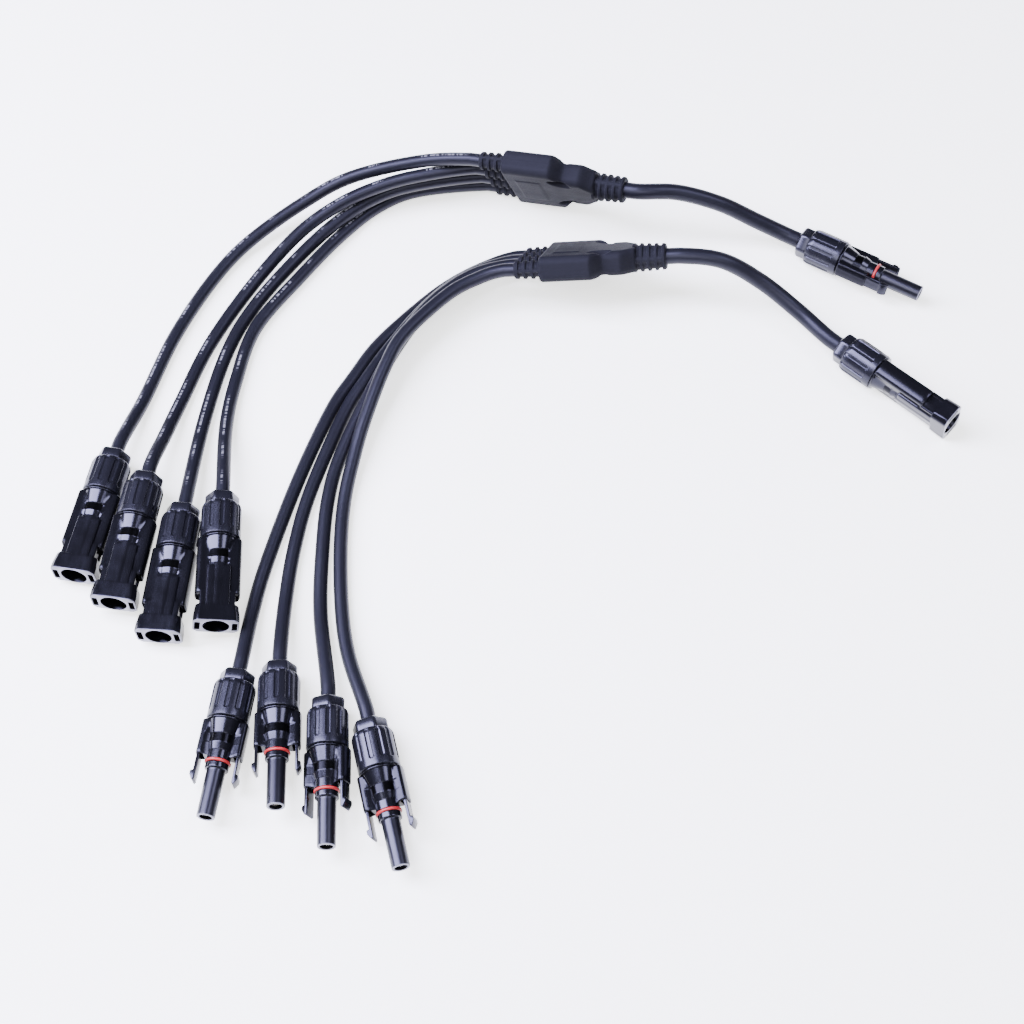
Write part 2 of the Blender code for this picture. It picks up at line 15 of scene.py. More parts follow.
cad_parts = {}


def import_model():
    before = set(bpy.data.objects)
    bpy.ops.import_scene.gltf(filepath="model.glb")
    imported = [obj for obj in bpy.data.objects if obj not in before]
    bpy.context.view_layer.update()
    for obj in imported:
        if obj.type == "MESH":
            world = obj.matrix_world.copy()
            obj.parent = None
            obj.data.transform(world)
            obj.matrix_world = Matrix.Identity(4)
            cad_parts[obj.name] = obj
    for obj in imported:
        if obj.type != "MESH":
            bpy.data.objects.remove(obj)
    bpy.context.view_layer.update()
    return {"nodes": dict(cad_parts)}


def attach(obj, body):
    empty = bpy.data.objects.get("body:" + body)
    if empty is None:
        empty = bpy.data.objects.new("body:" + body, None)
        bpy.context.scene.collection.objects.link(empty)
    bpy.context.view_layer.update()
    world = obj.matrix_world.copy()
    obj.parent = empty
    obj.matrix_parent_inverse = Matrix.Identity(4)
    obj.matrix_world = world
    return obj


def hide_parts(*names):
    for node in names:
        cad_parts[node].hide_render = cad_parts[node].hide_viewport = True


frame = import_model()

MM = 0.001
GAP = 0.3  # clearance between neighbouring pieces

# Sizes in millimetres. Most are the CAD's; wings, rails and latches were measured again for the looks.
LEG_DIA = 6.0
TRUNK_DIA = 7.3
STRAIGHT_OUT = 5.0
NUT_END = 21.0
HEX_LENGTH = 5.0
HEX_FLATS = 12.6
HEX_CORNERS = 14.0
NUT_DIA = 16.6
THREAD_DIA = 12.0
LENGTH = 60.0
HOUSING_BACK = 6.5
FLANGE = NUT_END + GAP
BAND_DIA = 10.6
BAND_START = 27.5
BAND_END = 31.0
CONE_END = 34.0
SHOULDER_BACK_RADIUS = 7.2
SHOULDER_FRONT_RADIUS = 5.6
CONE_BACK_RADIUS = 5.7
CONE_FRONT_RADIUS = 4.8
WING_OUT = 9.1
WING_CURVE = 2.4
WING_HALF_HEIGHT = 3.65
RAIL_HALF_HEIGHT = 4.2
RAIL_IN = 3.9
WING_ROOF_LOW = 3.2  # the wing's roof rises from here
WING_ROOF_HIGH = 5.8  # to its full height here
WING_END = 36.0
NOSE_DIA = 7.3
NOSE_BORE = 5.0
COLLAR_DIA = 9.2
COLLAR_END = 41.0
GROOVE_DIA = 7.0
O_RING_STATION = 38.0
O_RING_THICK = 1.3
O_RING_OUT = 10.3
POCKET_START = 31.5
LATCH_ROOT = 32.6
LATCH_START = WING_END + GAP
LATCH_END = 46.6  # 2.2 mm shorter than in the CAD
LATCH_HOOK = 42.6  # 1.6 mm further back than in the CAD
LATCH_IN = 7.1
LATCH_OUT = 8.3
BARB_OUT = 9.3
LATCH_HEIGHT = 5.6
RAIL_END = 47.0
MOUTH_START = 52.4
BODY_DIA = 11.4
PANEL_HALF_WIDTH = 4.9
PANEL_HALF_HEIGHT = 5.5
PANEL_CROWN = 0.012
WAIST_HALF = 7.1
WAIST_HALF_HEIGHT = 4.6
MOUTH_HALF_WIDTH = 9.2
MOUTH_HALF_HEIGHT = 5.7
MOUTH_CHAMFER = 1.8
MOUTH_FLARE_END = 57.0
MOUTH_FLARE = 0.7
MOUTH_BORE = 10.5
MOUTH_BORE_START = 53.0
CAVITY_BORE = 8.0
CAVITY_START = 36.0
SLOT_IN = 6.3
SLOT_OUT = 8.5
SLOT_HEIGHT = 6.4
CRIMP_START = 18.0
CRIMP_DIA = 5.4
CRIMP_BORE = 6.0
SHOULDER = 31.3
PIN_DIA = 4.0
PIN_BORE = 4.6
PIN_STEP = 44.0
PIN_END = 52.5
SOCKET_CONTACT_DIA = 4.4
SOCKET_CONTACT_END = 58.5
TUBE_BORE_START = 38.0
SLIT_START = 47.0
SLIT_HALF = 0.22
LEG_PITCH = 9.5
LEGS = 4
BLOCK_LENGTH = 42.0
BLOCK_WIDTH = 38.0
BLOCK_THICK = 11.5
NECK_WIDTH = 25.0
NECK_START = 26.0
BLOCK_CORNER = 3.4
LEG_END_ROUNDING = 1.8
TRUNK_END_ROUNDING = 1.2
RECESS_STATION = 26.6
RECESS_OUT = 10.2
RECESS_LENGTH = 5.4
RECESS_WIDTH = 2.4
RECESS_DEPTH = 1.9
LABEL_STATION = 11.5
LABEL_HALF_LENGTH = 6.0
LABEL_HALF_WIDTH = 9.5
LABEL_HEIGHT = 0.3
SEAM_HEIGHT = 0.06
LEG_RELIEF_LENGTH = 11.0
LEG_RELIEF_DIA = 9.0
TRUNK_RELIEF_LENGTH = 13.0
TRUNK_RELIEF_DIA = 13.0
RELIEF_TAPER = 0.10
GROOVE_DEPTH = 0.9
SPLICE_START = 12.0
SPLICE_END = 31.0
SPLICE_HALF_HEIGHT = 2.6

ORIGIN = Vector((3.3, 10.4, 0.0))  # the layout's place of the part's own origin (mm)

# Where each splitter's leg face centre lies (mm), and its roll, pitch and yaw in degrees
SPLITTERS = {
    "a": ((0.0, 169.0, 21.0), (-69.0, -10.0, -18.4)),
    "b": ((15.0, 121.3, 17.0), (142.0, -11.6, -6.2)),
}

# Each connector: kind, where its gland face lies (mm), and its roll, pitch and yaw in degrees
CONNECTORS = {
    "a_leg1": ("socket", (-168.4, 23.6, 8.5), (0.0, 0.0, -99.5)),
    "a_leg2": ("socket", (-152.8, 9.8, 12.3), (-3.0, 1.0, -96.8)),
    "a_leg3": ("socket", (-136.7, -3.3, 8.5), (0.0, 0.0, -94.0)),
    "a_leg4": ("socket", (-120.4, 0.2, 12.4), (-11.0, 1.5, -87.7)),
    "a_trunk": ("plug", (132.9, 140.7, 8.5), (-15.0, 0.0, -31.0)),
    "b_leg1": ("plug", (-107.6, -79.3, 8.5), (0.0, 0.0, -97.1)),
    "b_leg2": ("plug", (-91.6, -76.1, 8.8), (0.0, -3.0, -87.0)),
    "b_leg3": ("plug", (-71.6, -91.1, 9.2), (24.0, -1.0, -87.3)),
    "b_leg4": ("plug", (-55.2, -100.3, 9.0), (15.0, 0.0, -76.2)),
    "b_trunk": ("socket", (145.0, 79.4, 9.9), (105.0, 0.0, -43.0)),
}

# The points each cable passes between its splitter and its connector (mm)
ROUTES = {
    "a_leg1": ((-43, 174, 25.4), (-75, 172, 17), (-98, 162, 10), (-122, 143, 5), (-137, 122, 3.2),
               (-151, 90, 3.2), (-161, 55, 3.4)),
    "a_leg2": ((-42, 170, 20.4), (-61, 166, 17.6), (-80, 158, 14), (-99, 144, 9), (-119, 117, 4.4),
               (-135, 85, 3.2), (-144.5, 54, 3.6), (-149, 33, 7.5)),
    "a_leg3": ((-43, 171, 13.4), (-62, 166, 10.8), (-80, 154, 8), (-98, 135, 4.6), (-117, 106, 3.4),
               (-127, 80, 3.4), (-133.5, 44, 3.6)),
    "a_leg4": ((-44, 174, 5.3), (-63, 166, 3.2), (-80, 148, 3.2), (-97, 124, 3.2), (-115, 95, 3.2),
               (-121.5, 66, 3.2), (-123.5, 40, 5)),
    "a_trunk": ((75, 151.5, 29.5), (95, 150, 23.5), (112, 147.5, 15)),
    "b_leg1": ((-13, 129, 3.4), (-27, 120, 3.2), (-40, 108, 3.2), (-59, 86, 3.2), (-70, 67, 3.2),
               (-79, 49, 3.2), (-91, 13, 3.2), (-101, -26, 3.2), (-105, -49, 3.8)),
    "b_leg2": ((-20, 120, 8.6), (-37, 105, 7.6), (-52, 85, 6), (-64, 65, 5), (-73, 47, 3.8),
               (-85, 9, 3.2), (-90, -18, 3.2), (-92, -44, 4)),
    "b_leg3": ((-19, 115, 14.4), (-36, 101, 12.9), (-49, 82, 10.9), (-60, 60, 7.8), (-73, 27, 3.9),
               (-77.5, 5, 3.2), (-78.5, -20, 3.2), (-77.5, -50, 3.8)),
    "b_leg4": ((-16, 109, 20), (-29, 101, 18.6), (-47, 81, 17.3), (-55, 65, 15), (-63, 41, 10.1),
               (-67, 25, 6.6), (-70.5, 4, 3.8), (-71, -20, 3.2), (-69, -48, 3.4), (-65, -70, 5)),
    "b_trunk": ((93, 113, 28), (111, 108.5, 19), (128, 98, 11)),
}

ROUND_TURN = 2.0 * math.pi


def placement(position_mm, turn_degrees):
    """World matrix of a drawing whose origin sits at position_mm, turned by roll, pitch and yaw."""
    roll, pitch, yaw = (math.radians(angle) for angle in turn_degrees)
    turn = Euler((roll, pitch, yaw), "XYZ").to_matrix().to_4x4()
    return Matrix.Translation((Vector(position_mm) - ORIGIN) * MM) @ turn


# ---- camera, floor and light ----

def make_camera():
    """The camera at the photographed viewing angle."""
    camera = bpy.data.objects.new("camera", bpy.data.cameras.new("camera"))
    bpy.context.scene.collection.objects.link(camera)
    camera.location = (-0.0033, -0.3738, 0.6048)
    camera.rotation_euler = (math.radians(31.0), 0.0, 0.0)
    camera.data.lens = 58.75
    camera.data.sensor_width = 36.0
    camera.data.clip_start = 0.01
    camera.data.clip_end = 50.0
    bpy.context.scene.camera = camera


# Each softbox: name, place and size in metres, power in watts, and colour. All face the origin.
LIGHTS = (
    ("front", (-0.3, -1.5, 1.9), (2.2, 1.2), 80.0, (0.97, 0.97, 1.0)),
    ("left", (-0.70, 0.035, 0.84), (0.50, 1.22), 84.0, (0.74, 0.74, 1.0)),
    ("right", (0.56, 0.06, 0.92), (0.36, 0.42), 8.0, (0.80, 0.80, 1.0)),
)
PAPER_WHITE = (1.0, 1.0, 0.99, 1.0)
BACKDROP_RADIUS = 6.0
BACKDROP_GLOW = 1.7
FLOOR_GLOW = 1.6
ROOM_COLOUR = (0.84, 0.85, 1.0, 1.0)
ROOM_GLOW = 0.04


def make_light(name, location, size, power, colour):
    """Rectangular softbox that faces the origin."""
    light = bpy.data.lights.new(name, "AREA")
    light.shape = "RECTANGLE"
    light.size, light.size_y = size
    light.energy = power
    light.color = colour
    lamp = bpy.data.objects.new(name, light)
    bpy.context.scene.collection.objects.link(lamp)
    lamp.location = location
    lamp.rotation_euler = (-Vector(location)).to_track_quat("-Z", "Y").to_euler()


def make_backdrop():
    """A pale dome behind the floor in low views. It lights nothing and shows in no reflection."""
    bpy.ops.mesh.primitive_uv_sphere_add(segments=96, ring_count=48, radius=BACKDROP_RADIUS)
    dome = bpy.context.object
    dome.name = "backdrop"
    dome.data.shade_smooth()
    for ray in ("diffuse", "glossy", "transmission", "shadow"):
        setattr(dome, "visible_" + ray, False)
    paper, tree, shader = new_material("backdrop_paper")
    feed(tree, shader, {"Base Color": (0.0, 0.0, 0.0, 1.0), "Specular IOR Level": 0.0,
                        "Emission Color": PAPER_WHITE, "Emission Strength": BACKDROP_GLOW})
    paper.cycles.emission_sampling = "NONE"
    dome.data.materials.append(paper)


def make_stage():
    """Floor, backdrop, dim surroundings and the softboxes."""
    bpy.ops.mesh.primitive_plane_add(size=2.1 * BACKDROP_RADIUS)
    floor = bpy.context.object
    floor.name = "floor"
    floor.data.materials.append(floor_material())
    make_backdrop()
    world = bpy.data.worlds.new("studio")
    world.use_nodes = True
    background = world.node_tree.nodes["Background"]
    background.inputs["Color"].default_value = ROOM_COLOUR
    background.inputs["Strength"].default_value = ROOM_GLOW
    bpy.context.scene.world = world
    for light in LIGHTS:
        make_light(*light)


# ---- materials ----

# Specular tint for the plastics and jackets: a painted lavender tint on every reflection, standing in for
# the light's colour
LAVENDER = (0.74, 0.74, 1.0, 1.0)
# Pale grey painted on the housing's front rim: a painted highlight
PAINTED_RIM_HIGHLIGHT = (0.20, 0.20, 0.24, 1.0)
# Dead black painted in the bore and on the band behind the cone: painted shade
PAINTED_SHADE_BLACK = (0.001, 0.001, 0.001, 1.0)
PRINT_GREY = (0.13, 0.13, 0.15, 1.0)
MATT_SPECULAR = 0.12
FLANK_SPECULAR = 0.2
JACKET_SPECULAR = 0.2
SATIN_EXTRA = 0.14


def new_material(name):
    """A node material and its Principled shader."""
    material = bpy.data.materials.new(name)
    material.use_nodes = True
    return material, material.node_tree, material.node_tree.nodes["Principled BSDF"]


def feed(tree, target, inputs):
    """Sets a node's inputs, by name or number. A value that is another node's socket is linked."""
    for key, value in inputs.items():
        if isinstance(value, bpy.types.NodeSocket):
            tree.links.new(value, target.inputs[key])
        else:
            target.inputs[key].default_value = value


def node(tree, kind, inputs, **settings):
    """New shader node with its settings and its inputs, which feed describes."""
    made = tree.nodes.new("ShaderNode" + kind)
    for key, value in settings.items():
        setattr(made, key, value)
    feed(tree, made, inputs)
    return made


def ramp(tree, source, low, high, low_value, high_value):
    """source's range low to high mapped to low_value to high_value."""
    limits = {"From Min": low, "From Max": high, "To Min": low_value, "To Max": high_value}
    return node(tree, "MapRange", {"Value": source, **limits}, clamp=True).outputs["Result"]


def combined(tree, operation, *values):
    """One value, or two, put through a Math node."""
    return node(tree, "Math", dict(enumerate(values)), operation=operation).outputs[0]


def noise(tree, vector, scale, detail=3.0, roughness=0.5):
    """Noise of about 0 to 1 round 0.5; scale counts its waves per unit of vector."""
    inputs = {"Vector": vector, "Scale": scale, "Detail": detail, "Roughness": roughness}
    return node(tree, "TexNoise", inputs).outputs["Fac"]


def stretched(tree, vector, scale):
    """vector with its X, Y and Z multiplied by scale."""
    return node(tree, "Mapping", {"Vector": vector, "Scale": scale}).outputs["Vector"]


def mix_colour(tree, factor, low, high):
    """Colour from low to high by factor; either may be a socket or a colour."""
    return node(tree, "Mix", {0: factor, 6: low, 7: high}, data_type="RGBA").outputs[2]


def bump(tree, height, strength, distance, below=None):
    """Normal of a height, on top of the bump below if one is given; distance in metres."""
    made = node(tree, "Bump", {"Height": height, "Strength": strength, "Distance": distance})
    if below is not None:
        feed(tree, made, {"Normal": below})
    return made.outputs["Normal"]


def coordinates(tree):
    """Each piece's own drawing place in metres, which for a cable is its place before it was bent."""
    return node(tree, "Attribute", {}, attribute_name="drawing").outputs["Vector"]


def split(tree, place):
    """Station, distance to the side and height of a drawing place."""
    parts = node(tree, "SeparateXYZ", {0: place}).outputs
    return parts["X"], combined(tree, "ABSOLUTE", parts["Y"]), parts["Z"]


def housing_masks(tree, place, bore_radius, bore_start, satin_start):
    """Masks over a housing: its front rim, which gets a painted highlight, the places with painted shade and
    a matt finish, its flanks and its satin front.

    Painted shade, dead black with a matt finish, is on the inside of the bore from bore_start and on the
    round band behind the cone.
    """
    station, side, _ = split(tree, place)
    flat = stretched(tree, place, (0.0, 1.0, 1.0))
    around = node(tree, "VectorMath", {0: flat}, operation="LENGTH").outputs["Value"]

    def after(source, start, blend):
        return ramp(tree, source, start * MM, (start + blend) * MM, 0.0, 1.0)

    def before(source, end, blend):
        return ramp(tree, source, end * MM, (end + blend) * MM, 1.0, 0.0)

    # The front rim, where a pale highlight is painted
    rim = after(station, LENGTH - 0.45, 0.35)
    # The inside of the bore, painted dead black as shade
    inside = combined(tree, "MULTIPLY", before(around, bore_radius, 0.1), after(station, bore_start, 0.3))
    band = combined(tree, "MULTIPLY", after(station, BAND_START, 0.1), before(station, BAND_END - 0.1, 0.1))
    on_band = combined(tree, "MULTIPLY", band, before(around, BAND_DIA / 2.0 + 0.1, 0.05))
    painted_shade_and_matt = combined(tree, "MAXIMUM", inside, on_band)
    return rim, painted_shade_and_matt, after(side, PANEL_HALF_WIDTH, 1.0), after(station, satin_start, 0.5)


def moulded_plastic(name, colour, worn_colour, roughness, grain, specular, housing=None):
    """Black moulded plastic: spark-eroded grain, faint flow marks, rubbed edges and a few dull patches.

    housing, if given, holds the bore's radius, where the bore starts and where the satin front starts (mm);
    with it the front rim gets a painted highlight, and the bore and the band behind the cone get painted
    shade.
    """
    material, tree, shader = new_material(name)
    place = coordinates(tree)
    patches = noise(tree, place, 90.0, 4.0, 0.6)
    flow = noise(tree, stretched(tree, place, (60.0, 400.0, 400.0)), 1.0)
    fine = noise(tree, place, 4200.0, 2.0, 0.6)
    pointed = node(tree, "NewGeometry", {}).outputs["Pointiness"]
    edges = ramp(tree, pointed, 0.52, 0.60, 0.0, 1.0)
    wear = combined(tree, "MULTIPLY", edges, ramp(tree, patches, 0.35, 0.65, 0.15, 0.9))
    tint = mix_colour(tree, wear, colour, worn_colour)
    rough = ramp(tree, patches, 0.3, 0.7, roughness - 0.03, roughness + 0.04)
    if housing is not None:
        rim, painted_shade_and_matt, flank, satin = housing_masks(tree, place, *housing)
        # Painted highlight: the front rim is paler. Painted shade: the bore and the band behind the cone are
        # dead black.
        tint = mix_colour(tree, painted_shade_and_matt, mix_colour(tree, rim, tint, PAINTED_RIM_HIGHLIGHT), PAINTED_SHADE_BLACK)
        specular = combined(tree, "MINIMUM", ramp(tree, painted_shade_and_matt, 0.0, 1.0, specular, MATT_SPECULAR),
                            ramp(tree, flank, 0.0, 1.0, specular, FLANK_SPECULAR))
        rough = combined(tree, "ADD", rough, ramp(tree, satin, 0.0, 1.0, 0.0, SATIN_EXTRA))
    rough = combined(tree, "ADD", rough, ramp(tree, flow, 0.3, 0.7, -0.02, 0.03))
    shallow = bump(tree, flow, 0.08, 0.0002)
    feed(tree, shader, {"Base Color": tint, "Roughness": rough, "Specular IOR Level": specular,
                        "Specular Tint": LAVENDER, "Normal": bump(tree, fine, grain, 0.00006, shallow)})
    return material


def cable_material(name, printed):
    """Extruded jacket: fine lengthwise lines, satin sheen and, if printed, a row of pale plain dashes."""
    material, tree, shader = new_material(name)
    place = coordinates(tree)
    lines = noise(tree, stretched(tree, place, (8.0, 1500.0, 1500.0)), 1.0, 3.0, 0.6)
    cloud = noise(tree, place, 70.0)
    fine = noise(tree, place, 2200.0, 2.0, 0.6)
    base = mix_colour(tree, cloud, (0.004, 0.004, 0.006, 1.0), (0.007, 0.007, 0.010, 1.0))
    if printed:
        base = mix_colour(tree, print_mask(tree, place), base, PRINT_GREY)
    shallow = bump(tree, lines, 0.25, 0.00015)
    feed(tree, shader, {"Base Color": base, "Roughness": ramp(tree, lines, 0.3, 0.7, 0.34, 0.46),
                        "Specular IOR Level": JACKET_SPECULAR, "Specular Tint": LAVENDER,
                        "Normal": bump(tree, fine, 0.18, 0.0001, shallow)})
    return material


def print_mask(tree, place):
    """1 on a row of short dashes, worn here and there, along the jacket's upper side."""
    _, side, height = split(tree, place)
    beat = noise(tree, stretched(tree, place, (700.0, 0.0, 0.0)), 1.0, 1.0)
    groups = noise(tree, stretched(tree, place, (38.0, 0.0, 0.0)), 1.0, 1.0)
    wear = noise(tree, place, 900.0, 2.0, 0.6)
    result = ramp(tree, beat, 0.47, 0.50, 0.0, 1.0)
    for source, *limits in ((wear, 0.35, 0.5, 0.25, 1.0), (groups, 0.5, 0.53, 0.0, 1.0),
                            (side, 0.0004, 0.0006, 1.0, 0.0), (height, 0.0, 0.0005, 0.0, 1.0)):
        result = combined(tree, "MULTIPLY", result, ramp(tree, source, *limits))
    return result


def silicone(name):
    """Red rubber, a little uneven in colour and gloss."""
    material, tree, shader = new_material(name)
    place = coordinates(tree)
    cloud = noise(tree, place, 600.0)
    tint = mix_colour(tree, cloud, (0.27, 0.010, 0.013, 1.0), (0.38, 0.020, 0.022, 1.0))
    feed(tree, shader, {"Base Color": tint,
                        "Roughness": ramp(tree, noise(tree, place, 900.0), 0.3, 0.7, 0.32, 0.48),
                        "Normal": bump(tree, noise(tree, place, 3000.0), 0.1, 0.0001)})
    return material


def tin_plate(name):
    """Bright tinned metal with fine streaks along it."""
    material, tree, shader = new_material(name)
    place = coordinates(tree)
    streaks = noise(tree, stretched(tree, place, (60.0, 2500.0, 2500.0)), 1.0)
    tint = mix_colour(tree, noise(tree, place, 300.0), (0.66, 0.63, 0.58, 1.0), (0.80, 0.78, 0.74, 1.0))
    feed(tree, shader, {"Base Color": tint, "Metallic": 1.0,
                        "Roughness": ramp(tree, streaks, 0.3, 0.7, 0.2, 0.36),
                        "Normal": bump(tree, streaks, 0.1, 0.0001)})
    return material


def floor_material():
    """Matt white paper with very slight clouding."""
    material, tree, shader = new_material("pale_floor")
    place = node(tree, "TexCoord", {}).outputs["Object"]
    tint = mix_colour(tree, noise(tree, place, 3.0), (0.94, 0.94, 0.90, 1.0), (0.96, 0.96, 0.92, 1.0))
    feed(tree, shader, {"Base Color": tint, "Roughness": 0.7, "Emission Color": PAPER_WHITE,
                        "Emission Strength": FLOOR_GLOW})
    return material


# Colour, worn colour, roughness, grain and specular level of the glossy mouldings
GLOSSY_BLACK = ((0.003, 0.003, 0.004, 1.0), (0.010, 0.010, 0.014, 1.0), 0.17, 0.08, 0.4)

MATERIALS = {
    "black_shell": moulded_plastic("black_shell_plastic", *GLOSSY_BLACK),
    "black_plug": moulded_plastic("black_plug_plastic", *GLOSSY_BLACK,
                                  housing=(NOSE_BORE / 2.0, CONE_END, COLLAR_END)),
    "black_socket": moulded_plastic("black_socket_plastic", *GLOSSY_BLACK,
                                    housing=(MOUTH_BORE / 2.0, MOUTH_BORE_START, LENGTH)),
    "black_nut": moulded_plastic("black_nut_plastic", (0.005, 0.005, 0.007, 1.0), (0.014, 0.014, 0.02, 1.0),
                                 0.24, 0.06, 0.4),
    "black_overmould": moulded_plastic("black_overmould_rubber", (0.009, 0.009, 0.012, 1.0),
                                       (0.02, 0.02, 0.026, 1.0), 0.6, 1.0, 0.05),
    "cable_jacket": cable_material("cable_jacket_plain", False),
    "cable_jacket_printed": cable_material("cable_jacket_printed", True),
    "red_seal": silicone("red_silicone"),
    "tinned_copper": tin_plate("tinned_contact"),
}


# ---- mesh building ----

def mesh_object(name, vertices, faces, material):
    """Object from a drawing in millimetres."""
    mesh = bpy.data.meshes.new(name)
    mesh.from_pydata((np.asarray(vertices) * MM).tolist(), [], faces)
    mesh.materials.append(MATERIALS[material])
    obj = bpy.data.objects.new(name, mesh)
    bpy.context.scene.collection.objects.link(obj)
    return obj


def ring_faces(rings, count, looped):
    """Quads that join each ring of count points to the next, and the last to the first if looped."""
    faces = []
    for ring in range(rings if looped else rings - 1):
        low = ring * count
        high = (ring + 1) % rings * count
        for i in range(count):
            j = (i + 1) % count
            faces.append((low + i, low + j, high + j, high + i))
    return faces


def capped(name, rings, material):
    """Closed body through rings of equal length, with a flat cap at each end."""
    count = len(rings[0])
    faces = ring_faces(len(rings), count, False)
    faces.append(tuple(reversed(range(count))))
    faces.append(tuple(range((len(rings) - 1) * count, len(rings) * count)))
    return mesh_object(name, np.concatenate(rings), faces, material)


def hollow(name, rings, material):
    """Closed body with a hole right through: rings run forwards outside and back through the hole."""
    return mesh_object(name, np.concatenate(rings), ring_faces(len(rings), len(rings[0]), True), material)


def angles_round(count):
    """count angles that share out a full turn."""
    return np.arange(count) * ROUND_TURN / count


def polar_ring(station, angles, radii):
    """Ring about the X axis; radii may be one number or one for each angle."""
    radii = np.broadcast_to(radii, angles.shape)
    return np.stack([np.full_like(angles, station), radii * np.cos(angles), radii * np.sin(angles)], axis=1)


def rounded_profile(corners, steps=4):
    """(station, radius) pairs through (station, radius, fillet) corners, each fillet a short curve."""
    result = []
    for k, (station, radius, fillet) in enumerate(corners):
        corner = Vector((station, radius))
        if fillet == 0.0:
            result.append(corner)
            continue
        start = corner + (Vector(corners[k - 1][:2]) - corner).normalized() * fillet
        end = corner + (Vector(corners[k + 1][:2]) - corner).normalized() * fillet
        for i in range(steps + 1):
            t = i / steps
            result.append(start * (1.0 - t) ** 2 + corner * 2.0 * t * (1.0 - t) + end * t * t)
    return result


def shifted(rings, centre_y):
    """The same rings, moved sideways."""
    for ring in rings:
        ring[:, 1] += centre_y
    return rings


def turned_rings(profile, angles, centre_y=0.0):
    """Rings of a turned body from its (station, radius) pairs."""
    return shifted([polar_ring(station, angles, radius) for station, radius in profile], centre_y)


def smooth_min(a, b, blend):
    """The lesser of two distances, rounded where they cross: a join with a fillet."""
    share = np.clip(0.5 + 0.5 * (b - a) / blend, 0.0, 1.0)
    return b + (a - b) * share - blend * share * (1.0 - share)


def smooth_max(a, b, blend):
    """The greater of two distances, rounded where they cross: an overlap with a rounded edge."""
    return -smooth_min(-a, -b, blend)


def smooth_step(value, low, high):
    """0 up to low and 1 from high, with a soft rise between."""
    share = np.clip((value - low) / (high - low), 0.0, 1.0)
    return share * share * (3.0 - 2.0 * share)


def beyond(station, start, end):
    """Distance outside the stretch from start to end along the axis, negative within it."""
    return np.maximum(start - station, station - end)


def solved_rings(shape, stations, angles, reach=16.0):
    """Rings on the surface of shape(station, y, z), a distance that is negative inside."""
    station = np.asarray(stations)[:, None]
    across, up = np.cos(angles)[None], np.sin(angles)[None]
    low = np.zeros((len(stations), len(angles)))
    high = np.full_like(low, reach)
    for _ in range(24):
        middle = (low + high) / 2.0
        outside = shape(station, middle * across, middle * up) > 0.0
        high = np.where(outside, middle, high)
        low = np.where(outside, low, middle)
    return [polar_ring(s, angles, radii) for s, radii in zip(stations, high)]


def dense_stations(start, end, step, edges):
    """Stations every step, with more of them close to each edge."""
    near = (-0.5, -0.28, -0.14, -0.05, -0.008, 0.008, 0.05, 0.14, 0.28, 0.5)
    found = list(np.linspace(start, end, max(2, round((end - start) / step))))
    found += [edge + shift for edge in edges for shift in near if start < edge + shift < end]
    return sorted(set(round(station, 3) for station in found))


def box_body(low, high, rounding=0.0):
    """Box cutter between two corners, in millimetres."""
    (x0, y0, z0), (x1, y1, z1) = low, high
    corners = [(x, y, z) for x in (x0, x1) for y in (y0, y1) for z in (z0, z1)]
    faces = [(0, 1, 3, 2), (4, 6, 7, 5), (0, 4, 5, 1), (2, 3, 7, 6), (0, 2, 6, 4), (1, 5, 7, 3)]
    obj = mesh_object("cutter", corners, faces, "black_shell")
    if rounding:
        bevel(obj, rounding)
    return obj


def applied(obj):
    """Bakes obj's modifiers into its mesh."""
    graph = bpy.context.evaluated_depsgraph_get()
    result = bpy.data.meshes.new_from_object(obj.evaluated_get(graph))
    old = obj.data
    obj.modifiers.clear()
    obj.data = result
    bpy.data.meshes.remove(old)


def bevel(obj, width, segments=3):
    """Rounds obj's sharp edges; width in millimetres."""
    modifier = obj.modifiers.new("bevel", "BEVEL")
    modifier.width = width * MM
    modifier.segments = segments
    modifier.limit_method = "ANGLE"
    modifier.angle_limit = math.radians(40.0)
    applied(obj)


def combine(base, tool, operation):
    """Joins or cuts base with tool, which is used up."""
    modifier = base.modifiers.new(operation, "BOOLEAN")
    modifier.operation = operation
    modifier.solver = "MANIFOLD"
    modifier.object = tool
    applied(base)
    bpy.data.objects.remove(tool, do_unlink=True)


def shade(obj, sharp_degrees=38.0):
    """Smooth shading, except across edges sharper than sharp_degrees."""
    obj.data.shade_smooth()
    obj.data.set_sharp_from_angle(angle=math.radians(sharp_degrees))
    return obj


# ---- connector pieces ----

NUT_GROOVES = 12
GRIP_START = 6.6
GRIP_END = 17.1
GRIP_DEPTH = 0.5
NUT_ANGLES = angles_round(NUT_GROOVES * 16)
SHELL_ANGLES = angles_round(216)


